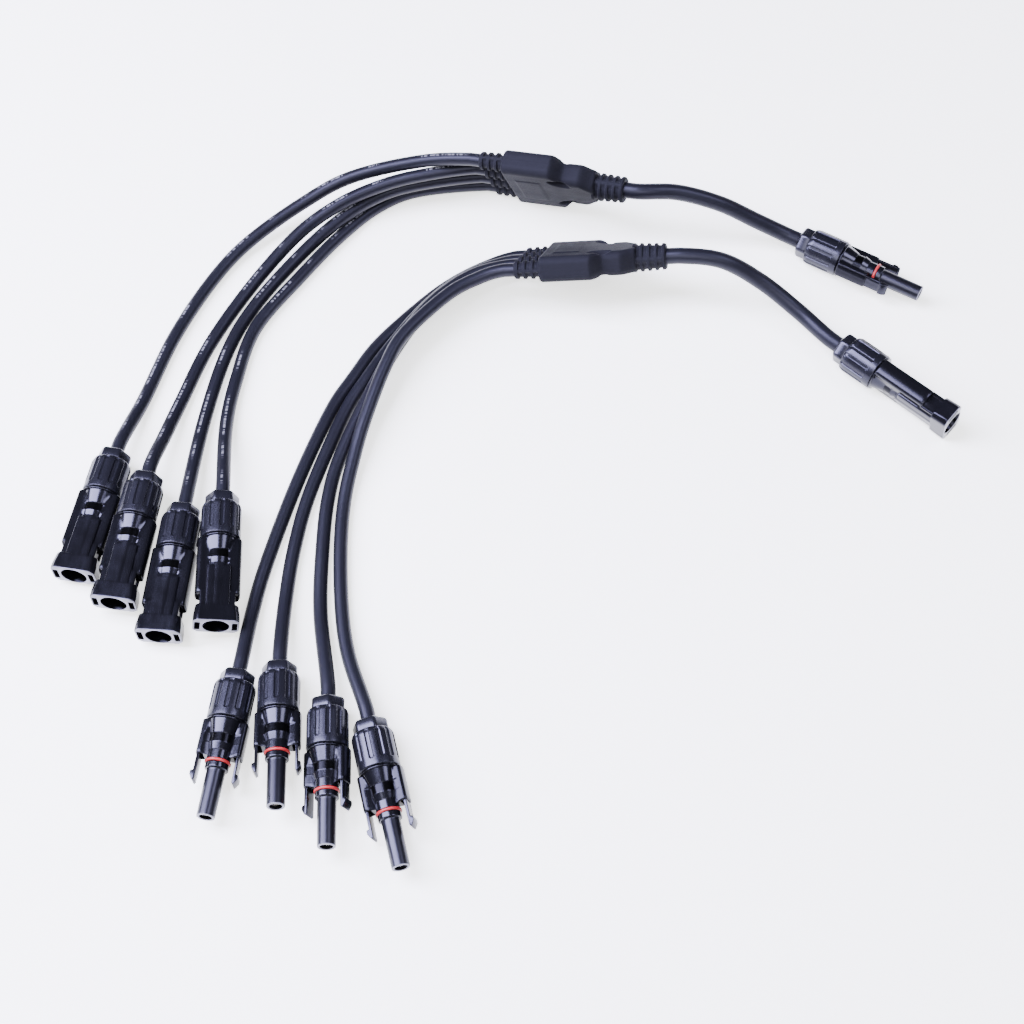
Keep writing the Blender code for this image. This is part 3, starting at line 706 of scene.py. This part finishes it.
def cap_nut(cable_dia):
    """Hexagonal collar, barrel with round-ended grip grooves, and a plain front band."""
    barrel = NUT_DIA / 2.0
    to_flat = NUT_ANGLES % math.radians(60.0) - math.radians(30.0)
    flats = HEX_FLATS / 2.0 / np.cos(to_flat)
    collar = smooth_min(flats, np.full_like(flats, HEX_CORNERS / 2.0), 0.25)
    pitch = ROUND_TURN / NUT_GROOVES
    from_groove = np.abs((NUT_ANGLES + pitch / 2.0) % pitch - pitch / 2.0) * barrel
    rings = []
    for station, inset in ((0.0, 1.1), (0.12, 0.75), (0.5, 0.32), (1.1, 0.0), (HEX_LENGTH - 0.5, 0.0),
                           (HEX_LENGTH - 0.15, 0.08), (HEX_LENGTH, 0.3)):
        rings.append(polar_ring(station, NUT_ANGLES, collar - inset))
    back = rounded_profile([(HEX_LENGTH, barrel - 1.9, 0.0), (HEX_LENGTH + 0.15, barrel - 0.55, 0.35),
                            (HEX_LENGTH + 1.6, barrel - 0.05, 0.6), (7.2, barrel, 0.0)])
    front = rounded_profile([(18.9, barrel, 0.0), (NUT_END - 0.35, barrel, 0.2),
                             (NUT_END, barrel - 0.4, 0.15), (NUT_END, THREAD_DIA / 2.0 + 0.7, 0.0)])
    grip = [(station, barrel) for station in (*np.linspace(7.6, 16.4, 8), *np.linspace(16.7, 18.6, 10))]
    for station, radius in (*back, *grip, *front):
        past_end = max(0.0, station - GRIP_END, GRIP_START - station)
        depth = GRIP_DEPTH * smooth_step(1.0 - np.hypot(past_end, from_groove), 0.0, 0.28)
        rings.append(polar_ring(station, NUT_ANGLES, radius - depth * (station > HEX_LENGTH + 0.1)))
    hole = cable_dia / 2.0 + GAP
    thread = THREAD_DIA / 2.0 + 0.39
    for station, radius in ((NUT_END, thread + 0.2), (NUT_END - 0.2, thread), (HEX_LENGTH + 0.92, thread),
                            (HEX_LENGTH + 0.9, hole), (0.7, hole), (0.25, hole + 0.12), (0.0, hole + 0.45)):
        rings.append(polar_ring(station, NUT_ANGLES, radius))
    return shade(hollow("cap_nut", rings, "black_nut"))


def tapered(station, start, end, start_value, end_value):
    """A size that changes evenly between two stations."""
    share = np.clip((station - start) / (end - start), 0.0, 1.0)
    return start_value + (end_value - start_value) * share


def back_distance(station, y, z):
    """Threaded tail, flange rim and tapered shoulder, then a matt band and a short cone."""
    around = np.hypot(y, z)
    tail = smooth_max(around - THREAD_DIA / 2.0, beyond(station, HOUSING_BACK, FLANGE + 1.0), 0.3)
    shoulder_radius = tapered(station, FLANGE, BAND_START, SHOULDER_BACK_RADIUS, SHOULDER_FRONT_RADIUS)
    shoulder = smooth_max(around - shoulder_radius, beyond(station, FLANGE, BAND_START), 0.2)
    band = smooth_max(around - BAND_DIA / 2.0, beyond(station, BAND_START - 1.0, BAND_END + 0.5), 0.2)
    cone_radius = tapered(station, BAND_END, CONE_END, CONE_BACK_RADIUS, CONE_FRONT_RADIUS)
    cone = smooth_max(around - cone_radius, beyond(station, BAND_END, CONE_END), 0.15)
    rim = smooth_max(around - NUT_DIA / 2.0 + 0.3, beyond(station, FLANGE, FLANGE + 0.6), 0.3)
    return np.minimum.reduce([tail, shoulder, band, cone, rim])


def wing_distance(station, y, z, end, half):
    """Curved shell of the given half height on both sides of the body."""
    out = np.hypot(np.abs(y) + WING_CURVE, z) - (WING_OUT + WING_CURVE)
    section = smooth_max(np.abs(z) - half, out, 1.1)
    return smooth_max(section, beyond(station, FLANGE + 0.2, end), 0.9)


def fillet(station):
    """Blend of the wings or rails into the body: none at the nut's face, where it would touch the nut."""
    return 0.02 + smooth_step(station, FLANGE + 0.6, FLANGE + 2.2)


def plug_distance(station, y, z):
    """Outside of the plug: back, wings, collar with the O-ring's groove, and nose."""
    around = np.hypot(y, z)
    back = back_distance(station, y, z)
    wing = wing_distance(station, y, z, WING_END, WING_HALF_HEIGHT)
    roof = tapered(np.abs(y), WING_ROOF_LOW, WING_ROOF_HIGH, 0.0, WING_HALF_HEIGHT)
    wing = np.maximum(wing, np.abs(z) - roof)
    collar = smooth_max(around - COLLAR_DIA / 2.0, beyond(station, CONE_END - 0.5, COLLAR_END), 0.4)
    groove = O_RING_THICK / 2.0 + 0.15
    ring = np.maximum(GROOVE_DIA / 2.0 - around,
                      beyond(station, O_RING_STATION - groove, O_RING_STATION + groove))
    collar = smooth_max(collar, -ring, 0.1)
    taper = tapered(station, COLLAR_END, LENGTH, NOSE_DIA / 2.0, NOSE_DIA / 2.0 - 0.12)
    nose = smooth_max(around - taper, beyond(station, CONE_END, LENGTH), 0.35)
    nose = smooth_min(nose, collar, 0.5)
    return np.minimum.reduce([smooth_min(back, wing, fillet(station)), collar, nose])


def socket_distance(station, y, z):
    """Outside of the socket: back, rails, round shell, raised panels, waist and mouth block."""
    y, z = np.abs(y), np.abs(z)
    around = np.hypot(y, z)
    back = back_distance(station, y, z)
    rails = wing_distance(station, y, z, RAIL_END, RAIL_HALF_HEIGHT)
    rails = np.maximum(rails, RAIL_IN - y)
    shell = smooth_max(around - BODY_DIA / 2.0, beyond(station, CONE_END - 0.5, LENGTH), 0.4)
    crowned = z - PANEL_HALF_HEIGHT + PANEL_CROWN * y * y
    panel = smooth_max(y - PANEL_HALF_WIDTH, crowned, 1.0)
    panel = smooth_max(panel, beyond(station, CONE_END + 0.6, LENGTH - 1.0), 0.7)
    waist = smooth_max(y - WAIST_HALF, z - WAIST_HALF_HEIGHT, 0.8)
    waist = smooth_max(waist, beyond(station, RAIL_END - 1.0, MOUTH_START + 1.0), 0.3)
    narrow = MOUTH_HALF_WIDTH - MOUTH_FLARE
    half_width = tapered(station, MOUTH_START, MOUTH_FLARE_END, narrow, MOUTH_HALF_WIDTH)
    corner = (y - half_width + z - MOUTH_HALF_HEIGHT + MOUTH_CHAMFER) / math.sqrt(2.0)
    mouth = smooth_max(y - half_width, z - MOUTH_HALF_HEIGHT, 0.3)
    mouth = smooth_max(smooth_max(mouth, corner, 0.4), beyond(station, MOUTH_START, LENGTH), 0.45)
    return np.minimum.reduce([smooth_min(back, rails, fillet(station)), shell, panel, waist, mouth])


def shell_body(distance, edges, bore, material):
    """Housing from its outside distance and its bore, a list of (station, radius) from front to back."""
    stations = dense_stations(HOUSING_BACK + 0.02, LENGTH - 0.02, 1.1, edges)
    rings = solved_rings(distance, stations, SHELL_ANGLES)
    rings += [polar_ring(station, SHELL_ANGLES, radius) for station, radius in bore]
    return hollow("housing", rings, material)


def back_bore(cable_dia):
    """The bore behind the contact, from front to back."""
    wide = cable_dia / 2.0 + 3.0 * GAP
    return [(SHOULDER, CRIMP_BORE / 2.0), (CRIMP_START, CRIMP_BORE / 2.0), (CRIMP_START - 0.1, wide),
            (HOUSING_BACK, wide)]


def cut_sides(body, start, end, inner, outer, half, rounding):
    """Cuts a box out of both sides of a housing, between two stations and two distances from its axis."""
    for side in (1, -1):
        near, far = sorted((side * inner, side * outer))
        combine(body, box_body((start, near, -half), (end, far, half), rounding), "DIFFERENCE")


def plug_housing(cable_dia):
    """Plug: hollow wings that hold the latch roots, O-ring collar and tubular nose."""
    edges = (FLANGE, FLANGE + 0.7, BAND_START, BAND_END, CONE_END, WING_END, O_RING_STATION - 0.8,
             O_RING_STATION + 0.8, COLLAR_END, LENGTH)
    bore = NOSE_BORE / 2.0
    body = shell_body(plug_distance, edges, [
        (LENGTH, bore + 0.3), (LENGTH - 0.3, bore), (SHOULDER + 0.01, bore),
        *back_bore(cable_dia)], "black_plug")
    cut_sides(body, POCKET_START, WING_END + 2.0, WING_ROOF_HIGH + 0.1, LATCH_OUT + 0.15,
              LATCH_HEIGHT / 2.0 + 0.2, 0.35)
    return shade(body)


def socket_housing(cable_dia):
    """Socket: raised panels between lower side rails, a notched waist and a slotted mouth block."""
    edges = (FLANGE, FLANGE + 0.7, BAND_START, BAND_END, CONE_END, CONE_END + 0.6, RAIL_END, MOUTH_START,
             LENGTH)
    mouth = MOUTH_BORE / 2.0
    cavity = CAVITY_BORE / 2.0
    pin = PIN_BORE / 2.0
    body = shell_body(socket_distance, edges, [
        (LENGTH, mouth + 0.15), (LENGTH - 0.2, mouth), (MOUTH_BORE_START + 0.01, mouth),
        (MOUTH_BORE_START, cavity), (CAVITY_START + 0.01, cavity), (CAVITY_START, pin),
        (SHOULDER + 0.01, pin), *back_bore(cable_dia)], "black_socket")
    cut_sides(body, RAIL_END - 1.5, LENGTH + 2.0, SLOT_IN, SLOT_OUT, SLOT_HEIGHT / 2.0, 0.25)
    return shade(body)


def latch_arm(side):
    """Springy arm with an outward barb; its root reaches back into the wing's pocket."""
    outline = [
        (LATCH_ROOT, LATCH_IN + 0.1), (LATCH_START, LATCH_IN), (LATCH_END - 0.6, LATCH_IN + 0.1),
        (LATCH_END, LATCH_IN + 0.7), (LATCH_END - 0.4, LATCH_OUT), (LATCH_HOOK + 1.9, BARB_OUT),
        (LATCH_HOOK + 0.3, BARB_OUT), (LATCH_HOOK, LATCH_OUT), (LATCH_START, LATCH_OUT),
        (LATCH_ROOT, LATCH_OUT - 0.1),
    ]
    half = LATCH_HEIGHT / 2.0
    outline = [(x, side * y) for x, y in outline]
    if side < 0:
        outline.reverse()
    rings = [np.array([(x, y, z) for x, y in outline]) for z in (-half, half)]
    obj = capped("latch", rings, "black_shell")
    bevel(obj, 0.22)
    return shade(obj)


def o_ring():
    """Moulded sealing ring with a fine flash line round its middle."""
    major = (O_RING_OUT - O_RING_THICK) / 2.0
    around = angles_round(72)
    rings = []
    for roll in angles_round(20):
        flash = 0.03 * (abs(math.sin(roll)) < 0.1)
        radius = O_RING_THICK / 2.0 + flash - 0.03
        station = O_RING_STATION - radius * math.sin(roll)
        rings.append(polar_ring(station, around, major - radius * math.cos(roll)))
    return shade(hollow("o_ring", rings, "red_seal"), 80.0)


# The crimped barrel's back end, which both contacts share
CRIMP_BACK = ((CRIMP_START + 0.1, 1.0, 0.0), (CRIMP_START + 0.1, CRIMP_DIA / 2.0, 0.3))


def contact_pin():
    """Crimped barrel and a pin with a rounded tip."""
    angles = angles_round(40)
    slim = PIN_DIA / 2.0 - 0.15
    profile = rounded_profile([
        *CRIMP_BACK, (SHOULDER - GAP, CRIMP_DIA / 2.0, 0.3), (SHOULDER - GAP, PIN_DIA / 2.0, 0.1),
        (PIN_STEP, PIN_DIA / 2.0, 0.1), (PIN_STEP + 0.4, slim, 0.1), (PIN_END - 2.2, slim, 1.0),
        (PIN_END, 0.8, 0.5), (PIN_END, 0.2, 0.0),
    ])
    return shade(capped("pin", turned_rings(profile, angles), "tinned_copper"))


def contact_tube():
    """Tubular contact with four spring slits at its open end."""
    angles = angles_round(48)
    outer = SOCKET_CONTACT_DIA / 2.0
    profile = rounded_profile([
        *CRIMP_BACK, (SHOULDER - 1.0, CRIMP_DIA / 2.0, 0.3), (SHOULDER - 0.9, outer, 0.05),
        (SOCKET_CONTACT_END - 0.3, outer, 0.15), (SOCKET_CONTACT_END, outer - 0.3, 0.1),
        (SOCKET_CONTACT_END, 1.6, 0.05), (TUBE_BORE_START, 1.5, 0.1), (TUBE_BORE_START, 0.2, 0.0),
    ])
    body = capped("tube", turned_rings(profile, angles), "tinned_copper")
    for turn in (0.0, 90.0):
        slit = box_body((SLIT_START, -3.0, -SLIT_HALF), (SOCKET_CONTACT_END + 1.0, 3.0, SLIT_HALF))
        slit.data.transform(Matrix.Rotation(math.radians(turn + 45.0), 4, "X"))
        combine(body, slit, "DIFFERENCE")
    return shade(body)


# ---- splitter ----

def leg_offset(leg):
    """Y of a leg's axis in the splitter drawing; leg counts from 1."""
    return (leg - 1 - (LEGS - 1) / 2.0) * LEG_PITCH


def rounded_rectangle(half_y, half_z, corner):
    """Points round a rectangle in Y and Z with round corners, anticlockwise seen from +X."""
    long_side, short_side, per_corner = 84, 12, 9
    inner_y, inner_z = half_y - corner, half_z - corner
    points = []
    sides = ((0, short_side, (half_y, -inner_z), (half_y, inner_z)),
             (1, long_side, (inner_y, half_z), (-inner_y, half_z)),
             (2, short_side, (-half_y, inner_z), (-half_y, -inner_z)),
             (3, long_side, (-inner_y, -half_z), (inner_y, -half_z)))
    centres = ((inner_y, inner_z), (-inner_y, inner_z), (-inner_y, -inner_z), (inner_y, -inner_z))
    for quarter, count, start, end in sides:
        for i in range(count):
            share = i / count
            points.append((start[0] + (end[0] - start[0]) * share, start[1] + (end[1] - start[1]) * share))
        for i in range(per_corner):
            turn = math.radians(90.0) * (quarter + i / per_corner)
            centre = centres[quarter]
            points.append((centre[0] + corner * math.cos(turn), centre[1] + corner * math.sin(turn)))
    return np.array(points)


def block_ring(station, half_y, half_z, corner):
    """One ring of the moulded block, with its recesses, raised blank panel and parting line."""
    flat = rounded_rectangle(half_y, half_z, corner)
    y, z = flat[:, 0], flat[:, 1]
    on_face = smooth_step(np.abs(z), half_z - 1.2, half_z - 0.2)
    ahead = station - RECESS_STATION
    oval = np.hypot(ahead / RECESS_LENGTH, (np.abs(y) - RECESS_OUT + 0.35 * ahead) / RECESS_WIDTH)
    recess = RECESS_DEPTH * (1.0 - smooth_step(oval, 0.55, 1.05))
    label_edge = np.maximum(np.abs(station - LABEL_STATION) - LABEL_HALF_LENGTH,
                            np.abs(y) - LABEL_HALF_WIDTH)
    label = LABEL_HEIGHT * (1.0 - smooth_step(label_edge, -0.4, 0.2))
    lift = (label - recess) * on_face
    seam = SEAM_HEIGHT * (1.0 - smooth_step(np.abs(z), 0.1, 0.35)) * (np.abs(y) > half_y - 0.2)
    return np.stack([np.full_like(y, station), y + np.sign(y) * seam, z + np.sign(z) * lift], axis=1)


def rounded_end(distance, radius):
    """How far a rounded edge has fallen away at this distance from the body's end."""
    return radius * (1.0 - math.sqrt(max(0.0, 1.0 - (1.0 - min(1.0, distance / radius)) ** 2)))


def block_stations():
    """(station, half width, half height, corner radius) along the block, both ends rounded."""
    wide, neck, half = BLOCK_WIDTH / 2.0, NECK_WIDTH / 2.0, BLOCK_THICK / 2.0
    result = []
    for station in (*np.linspace(0.0, 2.0, 9), *np.linspace(2.4, 20.0, 34), *np.linspace(20.4, 36.0, 48),
                    *np.linspace(36.3, BLOCK_LENGTH, 16)):
        leg_end = rounded_end(station, LEG_END_ROUNDING)
        trunk_end = rounded_end(BLOCK_LENGTH - station, TRUNK_END_ROUNDING)
        shoulder = float(smooth_step(station, NECK_START - 3.4, NECK_START + 2.6))
        tail = float(smooth_step(station, BLOCK_LENGTH - 7.0, BLOCK_LENGTH))
        half_y = wide + (neck - wide) * shoulder - 4.8 * tail - leg_end - trunk_end
        half_z = half - 0.25 * shoulder - leg_end - trunk_end
        result.append((station, half_y, half_z, min(BLOCK_CORNER, half_z - 0.3)))
    return result


def relief(start, end, diameter, grooves, centre_y):
    """Strain relief: grooves cut from above and below, a solid spine left on each side."""
    angles = angles_round(56)
    spine = smooth_step(np.abs(np.sin(angles)), 0.10, 0.34)
    length = end - start
    pitch = length / (grooves + 0.6)
    rings = []
    for share in np.linspace(0.0, 1.0, 22 * grooves):
        station = start + length * share
        radius = diameter / 2.0 * (1.0 - RELIEF_TAPER * share)
        phase = ((station - start) / pitch - 0.15) % 1.0
        last = (station - start) / pitch < grooves + 0.1
        groove = float(smooth_step(phase, 0.30, 0.42) - smooth_step(phase, 0.88, 1.0)) * last
        rounding = 0.5 * smooth_step(share, 0.96, 1.0)
        rings.append(polar_ring(station, angles, radius - GROOVE_DEPTH * groove * spine - rounding))
    if end < start:
        rings.reverse()
    return capped("relief", shifted(rings, centre_y), "black_overmould")


def bore(start, end, diameter, centre_y=0.0):
    """Round cutter along the X axis, or beside it at centre_y."""
    profile = [(start, diameter / 2.0), (end, diameter / 2.0)]
    return capped("bore", turned_rings(profile, angles_round(48), centre_y), "black_overmould")


def splitter():
    """The moulded block with its five strain reliefs, hollow for the splice bar and bored for the cables."""
    rings = [block_ring(*values) for values in block_stations()]
    body = capped("block", rings, "black_overmould")
    for leg in range(1, LEGS + 1):
        combine(body, relief(2.0, -LEG_RELIEF_LENGTH, LEG_RELIEF_DIA, 3, leg_offset(leg)), "UNION")
    trunk_end = BLOCK_LENGTH + TRUNK_RELIEF_LENGTH
    combine(body, relief(BLOCK_LENGTH - 2.0, trunk_end, TRUNK_RELIEF_DIA, 4, 0.0), "UNION")
    cavity_y = leg_offset(LEGS) + LEG_DIA / 2.0 + GAP
    narrow_y = TRUNK_DIA / 2.0 + GAP
    height = SPLICE_HALF_HEIGHT + GAP
    outline = [(SPLICE_START, -cavity_y), (SPLICE_END, -narrow_y), (SPLICE_END, narrow_y),
               (SPLICE_START, cavity_y)]
    room = [np.array([(x, y, z) for x, y in outline]) for z in (-height, height)]
    combine(body, capped("room", room, "black_overmould"), "DIFFERENCE")
    for leg in range(1, LEGS + 1):
        hole = bore(-LEG_RELIEF_LENGTH - 1.0, SPLICE_START + 0.5, LEG_DIA + 0.3, leg_offset(leg))
        combine(body, hole, "DIFFERENCE")
    combine(body, bore(SPLICE_END - 0.5, trunk_end + 1.0, TRUNK_DIA + 0.3), "DIFFERENCE")
    return shade(body, 45.0)


# ---- cables ----

CABLE_SIDES = 24
CABLE_STEP = 0.002  # metres between a centreline's points
END_PULL = 0.02  # metres: how firmly a centreline keeps its direction at its ends
SPLINE_STEPS = 24


def smooth_through(points, start_ahead, end_ahead, step):
    """Points every step along a smooth curve through points, with set directions at its ends."""
    knots = [points[0] - start_ahead, *points, points[-1] + end_ahead]
    fine = []
    for k in range(1, len(knots) - 2):
        a, b, c, d = knots[k - 1:k + 3]
        for i in range(SPLINE_STEPS):
            t = i / SPLINE_STEPS
            fine.append(0.5 * (2.0 * b + (c - a) * t + (2.0 * a - 5.0 * b + 4.0 * c - d) * t ** 2
                               + (3.0 * b - a - 3.0 * c + d) * t ** 3))
    fine.append(points[-1])
    lengths = [0.0]
    for one, two in zip(fine, fine[1:]):
        lengths.append(lengths[-1] + (two - one).length)
    count = max(3, round(lengths[-1] / step))
    result = []
    for i in range(count + 1):
        target = lengths[-1] * i / count
        k = max(1, next((j for j, done in enumerate(lengths) if done >= target - 1e-9), len(fine) - 1))
        share = (target - lengths[k - 1]) / (lengths[k] - lengths[k - 1])
        result.append(fine[k - 1].lerp(fine[k], min(1.0, max(0.0, share))))
    return result


def cable_path(name):
    """Centreline from the splice to the contact, in metres, and the point where it leaves the splitter."""
    block = placement(*SPLITTERS[name[0]])
    connector = placement(*CONNECTORS[name][1:])
    if name.endswith("trunk"):
        y = 0.0
        inner, exit_station, outside = SPLICE_END, BLOCK_LENGTH + TRUNK_RELIEF_LENGTH, STRAIGHT_OUT
    else:
        y = leg_offset(int(name[-1]))
        inner, exit_station, outside = SPLICE_START, -LEG_RELIEF_LENGTH, -STRAIGHT_OUT
    first = block @ Vector((inner * MM, y * MM, 0.0))
    leaving = block @ Vector(((exit_station + outside) * MM, y * MM, 0.0))
    arriving = connector @ Vector((-STRAIGHT_OUT * MM, 0.0, 0.0))
    last = connector @ Vector(((CRIMP_START - GAP) * MM, 0.0, 0.0))
    route = [(Vector(point) - ORIGIN) * MM for point in ROUTES[name]]
    middle = smooth_through([leaving, *route, arriving], (leaving - first).normalized() * END_PULL,
                            (last - arriving).normalized() * END_PULL, CABLE_STEP)
    return [first, *middle, last], block @ Vector((exit_station * MM, y * MM, 0.0))


def keep_drawing(obj, places):
    """Stores each vertex's drawing place, which the materials follow."""
    store = obj.data.attributes.new("drawing", "FLOAT_VECTOR", "POINT")
    store.data.foreach_set("vector", places.astype(np.float32).ravel())


def swept_tube(name, path, diameter, material):
    """Closed tube along path that doesn't twist, with its unbent place stored for its material."""
    radius = diameter / 2.0
    side = Vector((0.0, 0.0, 1.0))
    vertices, straight = [], []
    along = 0.0
    for k, point in enumerate(path):
        ahead = (path[min(k + 1, len(path) - 1)] - path[max(k - 1, 0)]).normalized()
        side = (side - ahead * side.dot(ahead)).normalized()
        across = ahead.cross(side)
        along += (point - path[max(k - 1, 0)]).length
        for angle in angles_round(CABLE_SIDES):
            up, over = radius * math.cos(angle), radius * math.sin(angle)
            vertices.append(point + side * up + across * over)
            straight.append((along, over, up))
    rings = (np.array(vertices) / MM).reshape(len(path), CABLE_SIDES, 3)
    obj = capped(name, rings, material)
    keep_drawing(obj, np.array(straight))
    return shade(obj, 60.0)


def make_cable(name, end_pieces):
    """One cable: a tube along its path, put in its harness in place of its CAD node."""
    diameter = (TRUNK_DIA if name.endswith("trunk") else LEG_DIA) * MM
    path, exit_point = cable_path(name)
    material = "cable_jacket_printed" if name.startswith("a_leg") else "cable_jacket"
    tube = swept_tube(f"{name}_cable_jacket", path, diameter, material)
    place_piece(tube, f"{name}_cable", "harness_" + name[0])


# ---- assembly ----

# The pieces of each kind of connector and their slots. A moving piece is a body of its own.
SHARED = (("cap_nut", "black_nut"), ("housing", "black_shell"))
PIECES = {
    "socket": (*SHARED, ("contact_pin", "tinned_copper")),
    "plug": (*SHARED, ("contact_tube", "tinned_copper"), ("o_ring", "red_seal"),
             ("latch_left", "black_shell"), ("latch_right", "black_shell")),
}
MOVING = ("cap_nut", "latch_left", "latch_right")


def place_piece(obj, cad_node, body, matrix=None):
    """Moves obj from its drawing to its place, and lets it stand for its CAD node."""
    if matrix is not None:
        keep_drawing(obj, np.array([vertex.co for vertex in obj.data.vertices]))
        obj.data.transform(matrix)
    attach(obj, body)
    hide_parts(cad_node)


def copied(prototype, name):
    """A copy with its own mesh."""
    obj = bpy.data.objects.new(name, prototype.data.copy())
    obj.data.name = name
    bpy.context.scene.collection.objects.link(obj)
    return obj


def make_prototypes():
    """One of each connector piece, copied wherever it is used."""
    made = {}
    for size, cable_dia in (("leg", LEG_DIA), ("trunk", TRUNK_DIA)):
        made["cap_nut", size] = cap_nut(cable_dia)
        made["plug", size] = plug_housing(cable_dia)
        made["socket", size] = socket_housing(cable_dia)
    made |= {"o_ring": o_ring(), "contact_pin": contact_pin(), "contact_tube": contact_tube(),
             "latch_left": latch_arm(1), "latch_right": latch_arm(-1)}
    return made


def make_connector(name, prototypes):
    """Puts one connector together; returns its pieces."""
    kind, position, turn = CONNECTORS[name]
    matrix = placement(position, turn)
    size = "trunk" if name.endswith("trunk") else "leg"
    sized = {"cap_nut": ("cap_nut", size), "housing": (kind, size)}
    pieces = []
    for part, slot in PIECES[kind]:
        cad_node = f"{name}_{kind}_{part}"
        obj = copied(prototypes[sized.get(part, part)], cad_node + "_detail")
        place_piece(obj, cad_node, cad_node if part in MOVING else "harness_" + name[0], matrix)
        pieces.append(obj)
    return pieces


def make_harnesses():
    """Both splitters, all ten connectors and their cables."""
    prototypes = make_prototypes()
    block = splitter()
    for prefix, spot in SPLITTERS.items():
        moulding = copied(block, prefix + "_splitter_detail")
        place_piece(moulding, prefix + "_splitter", "harness_" + prefix, placement(*spot))
        frame["nodes"][prefix + "_splice_bar"].material_slots[0].material = MATERIALS["tinned_copper"]
    for name in CONNECTORS:
        make_cable(name, make_connector(name, prototypes))
    for prototype in (*prototypes.values(), block):
        bpy.data.objects.remove(prototype, do_unlink=True)


make_camera()
make_stage()
make_harnesses()
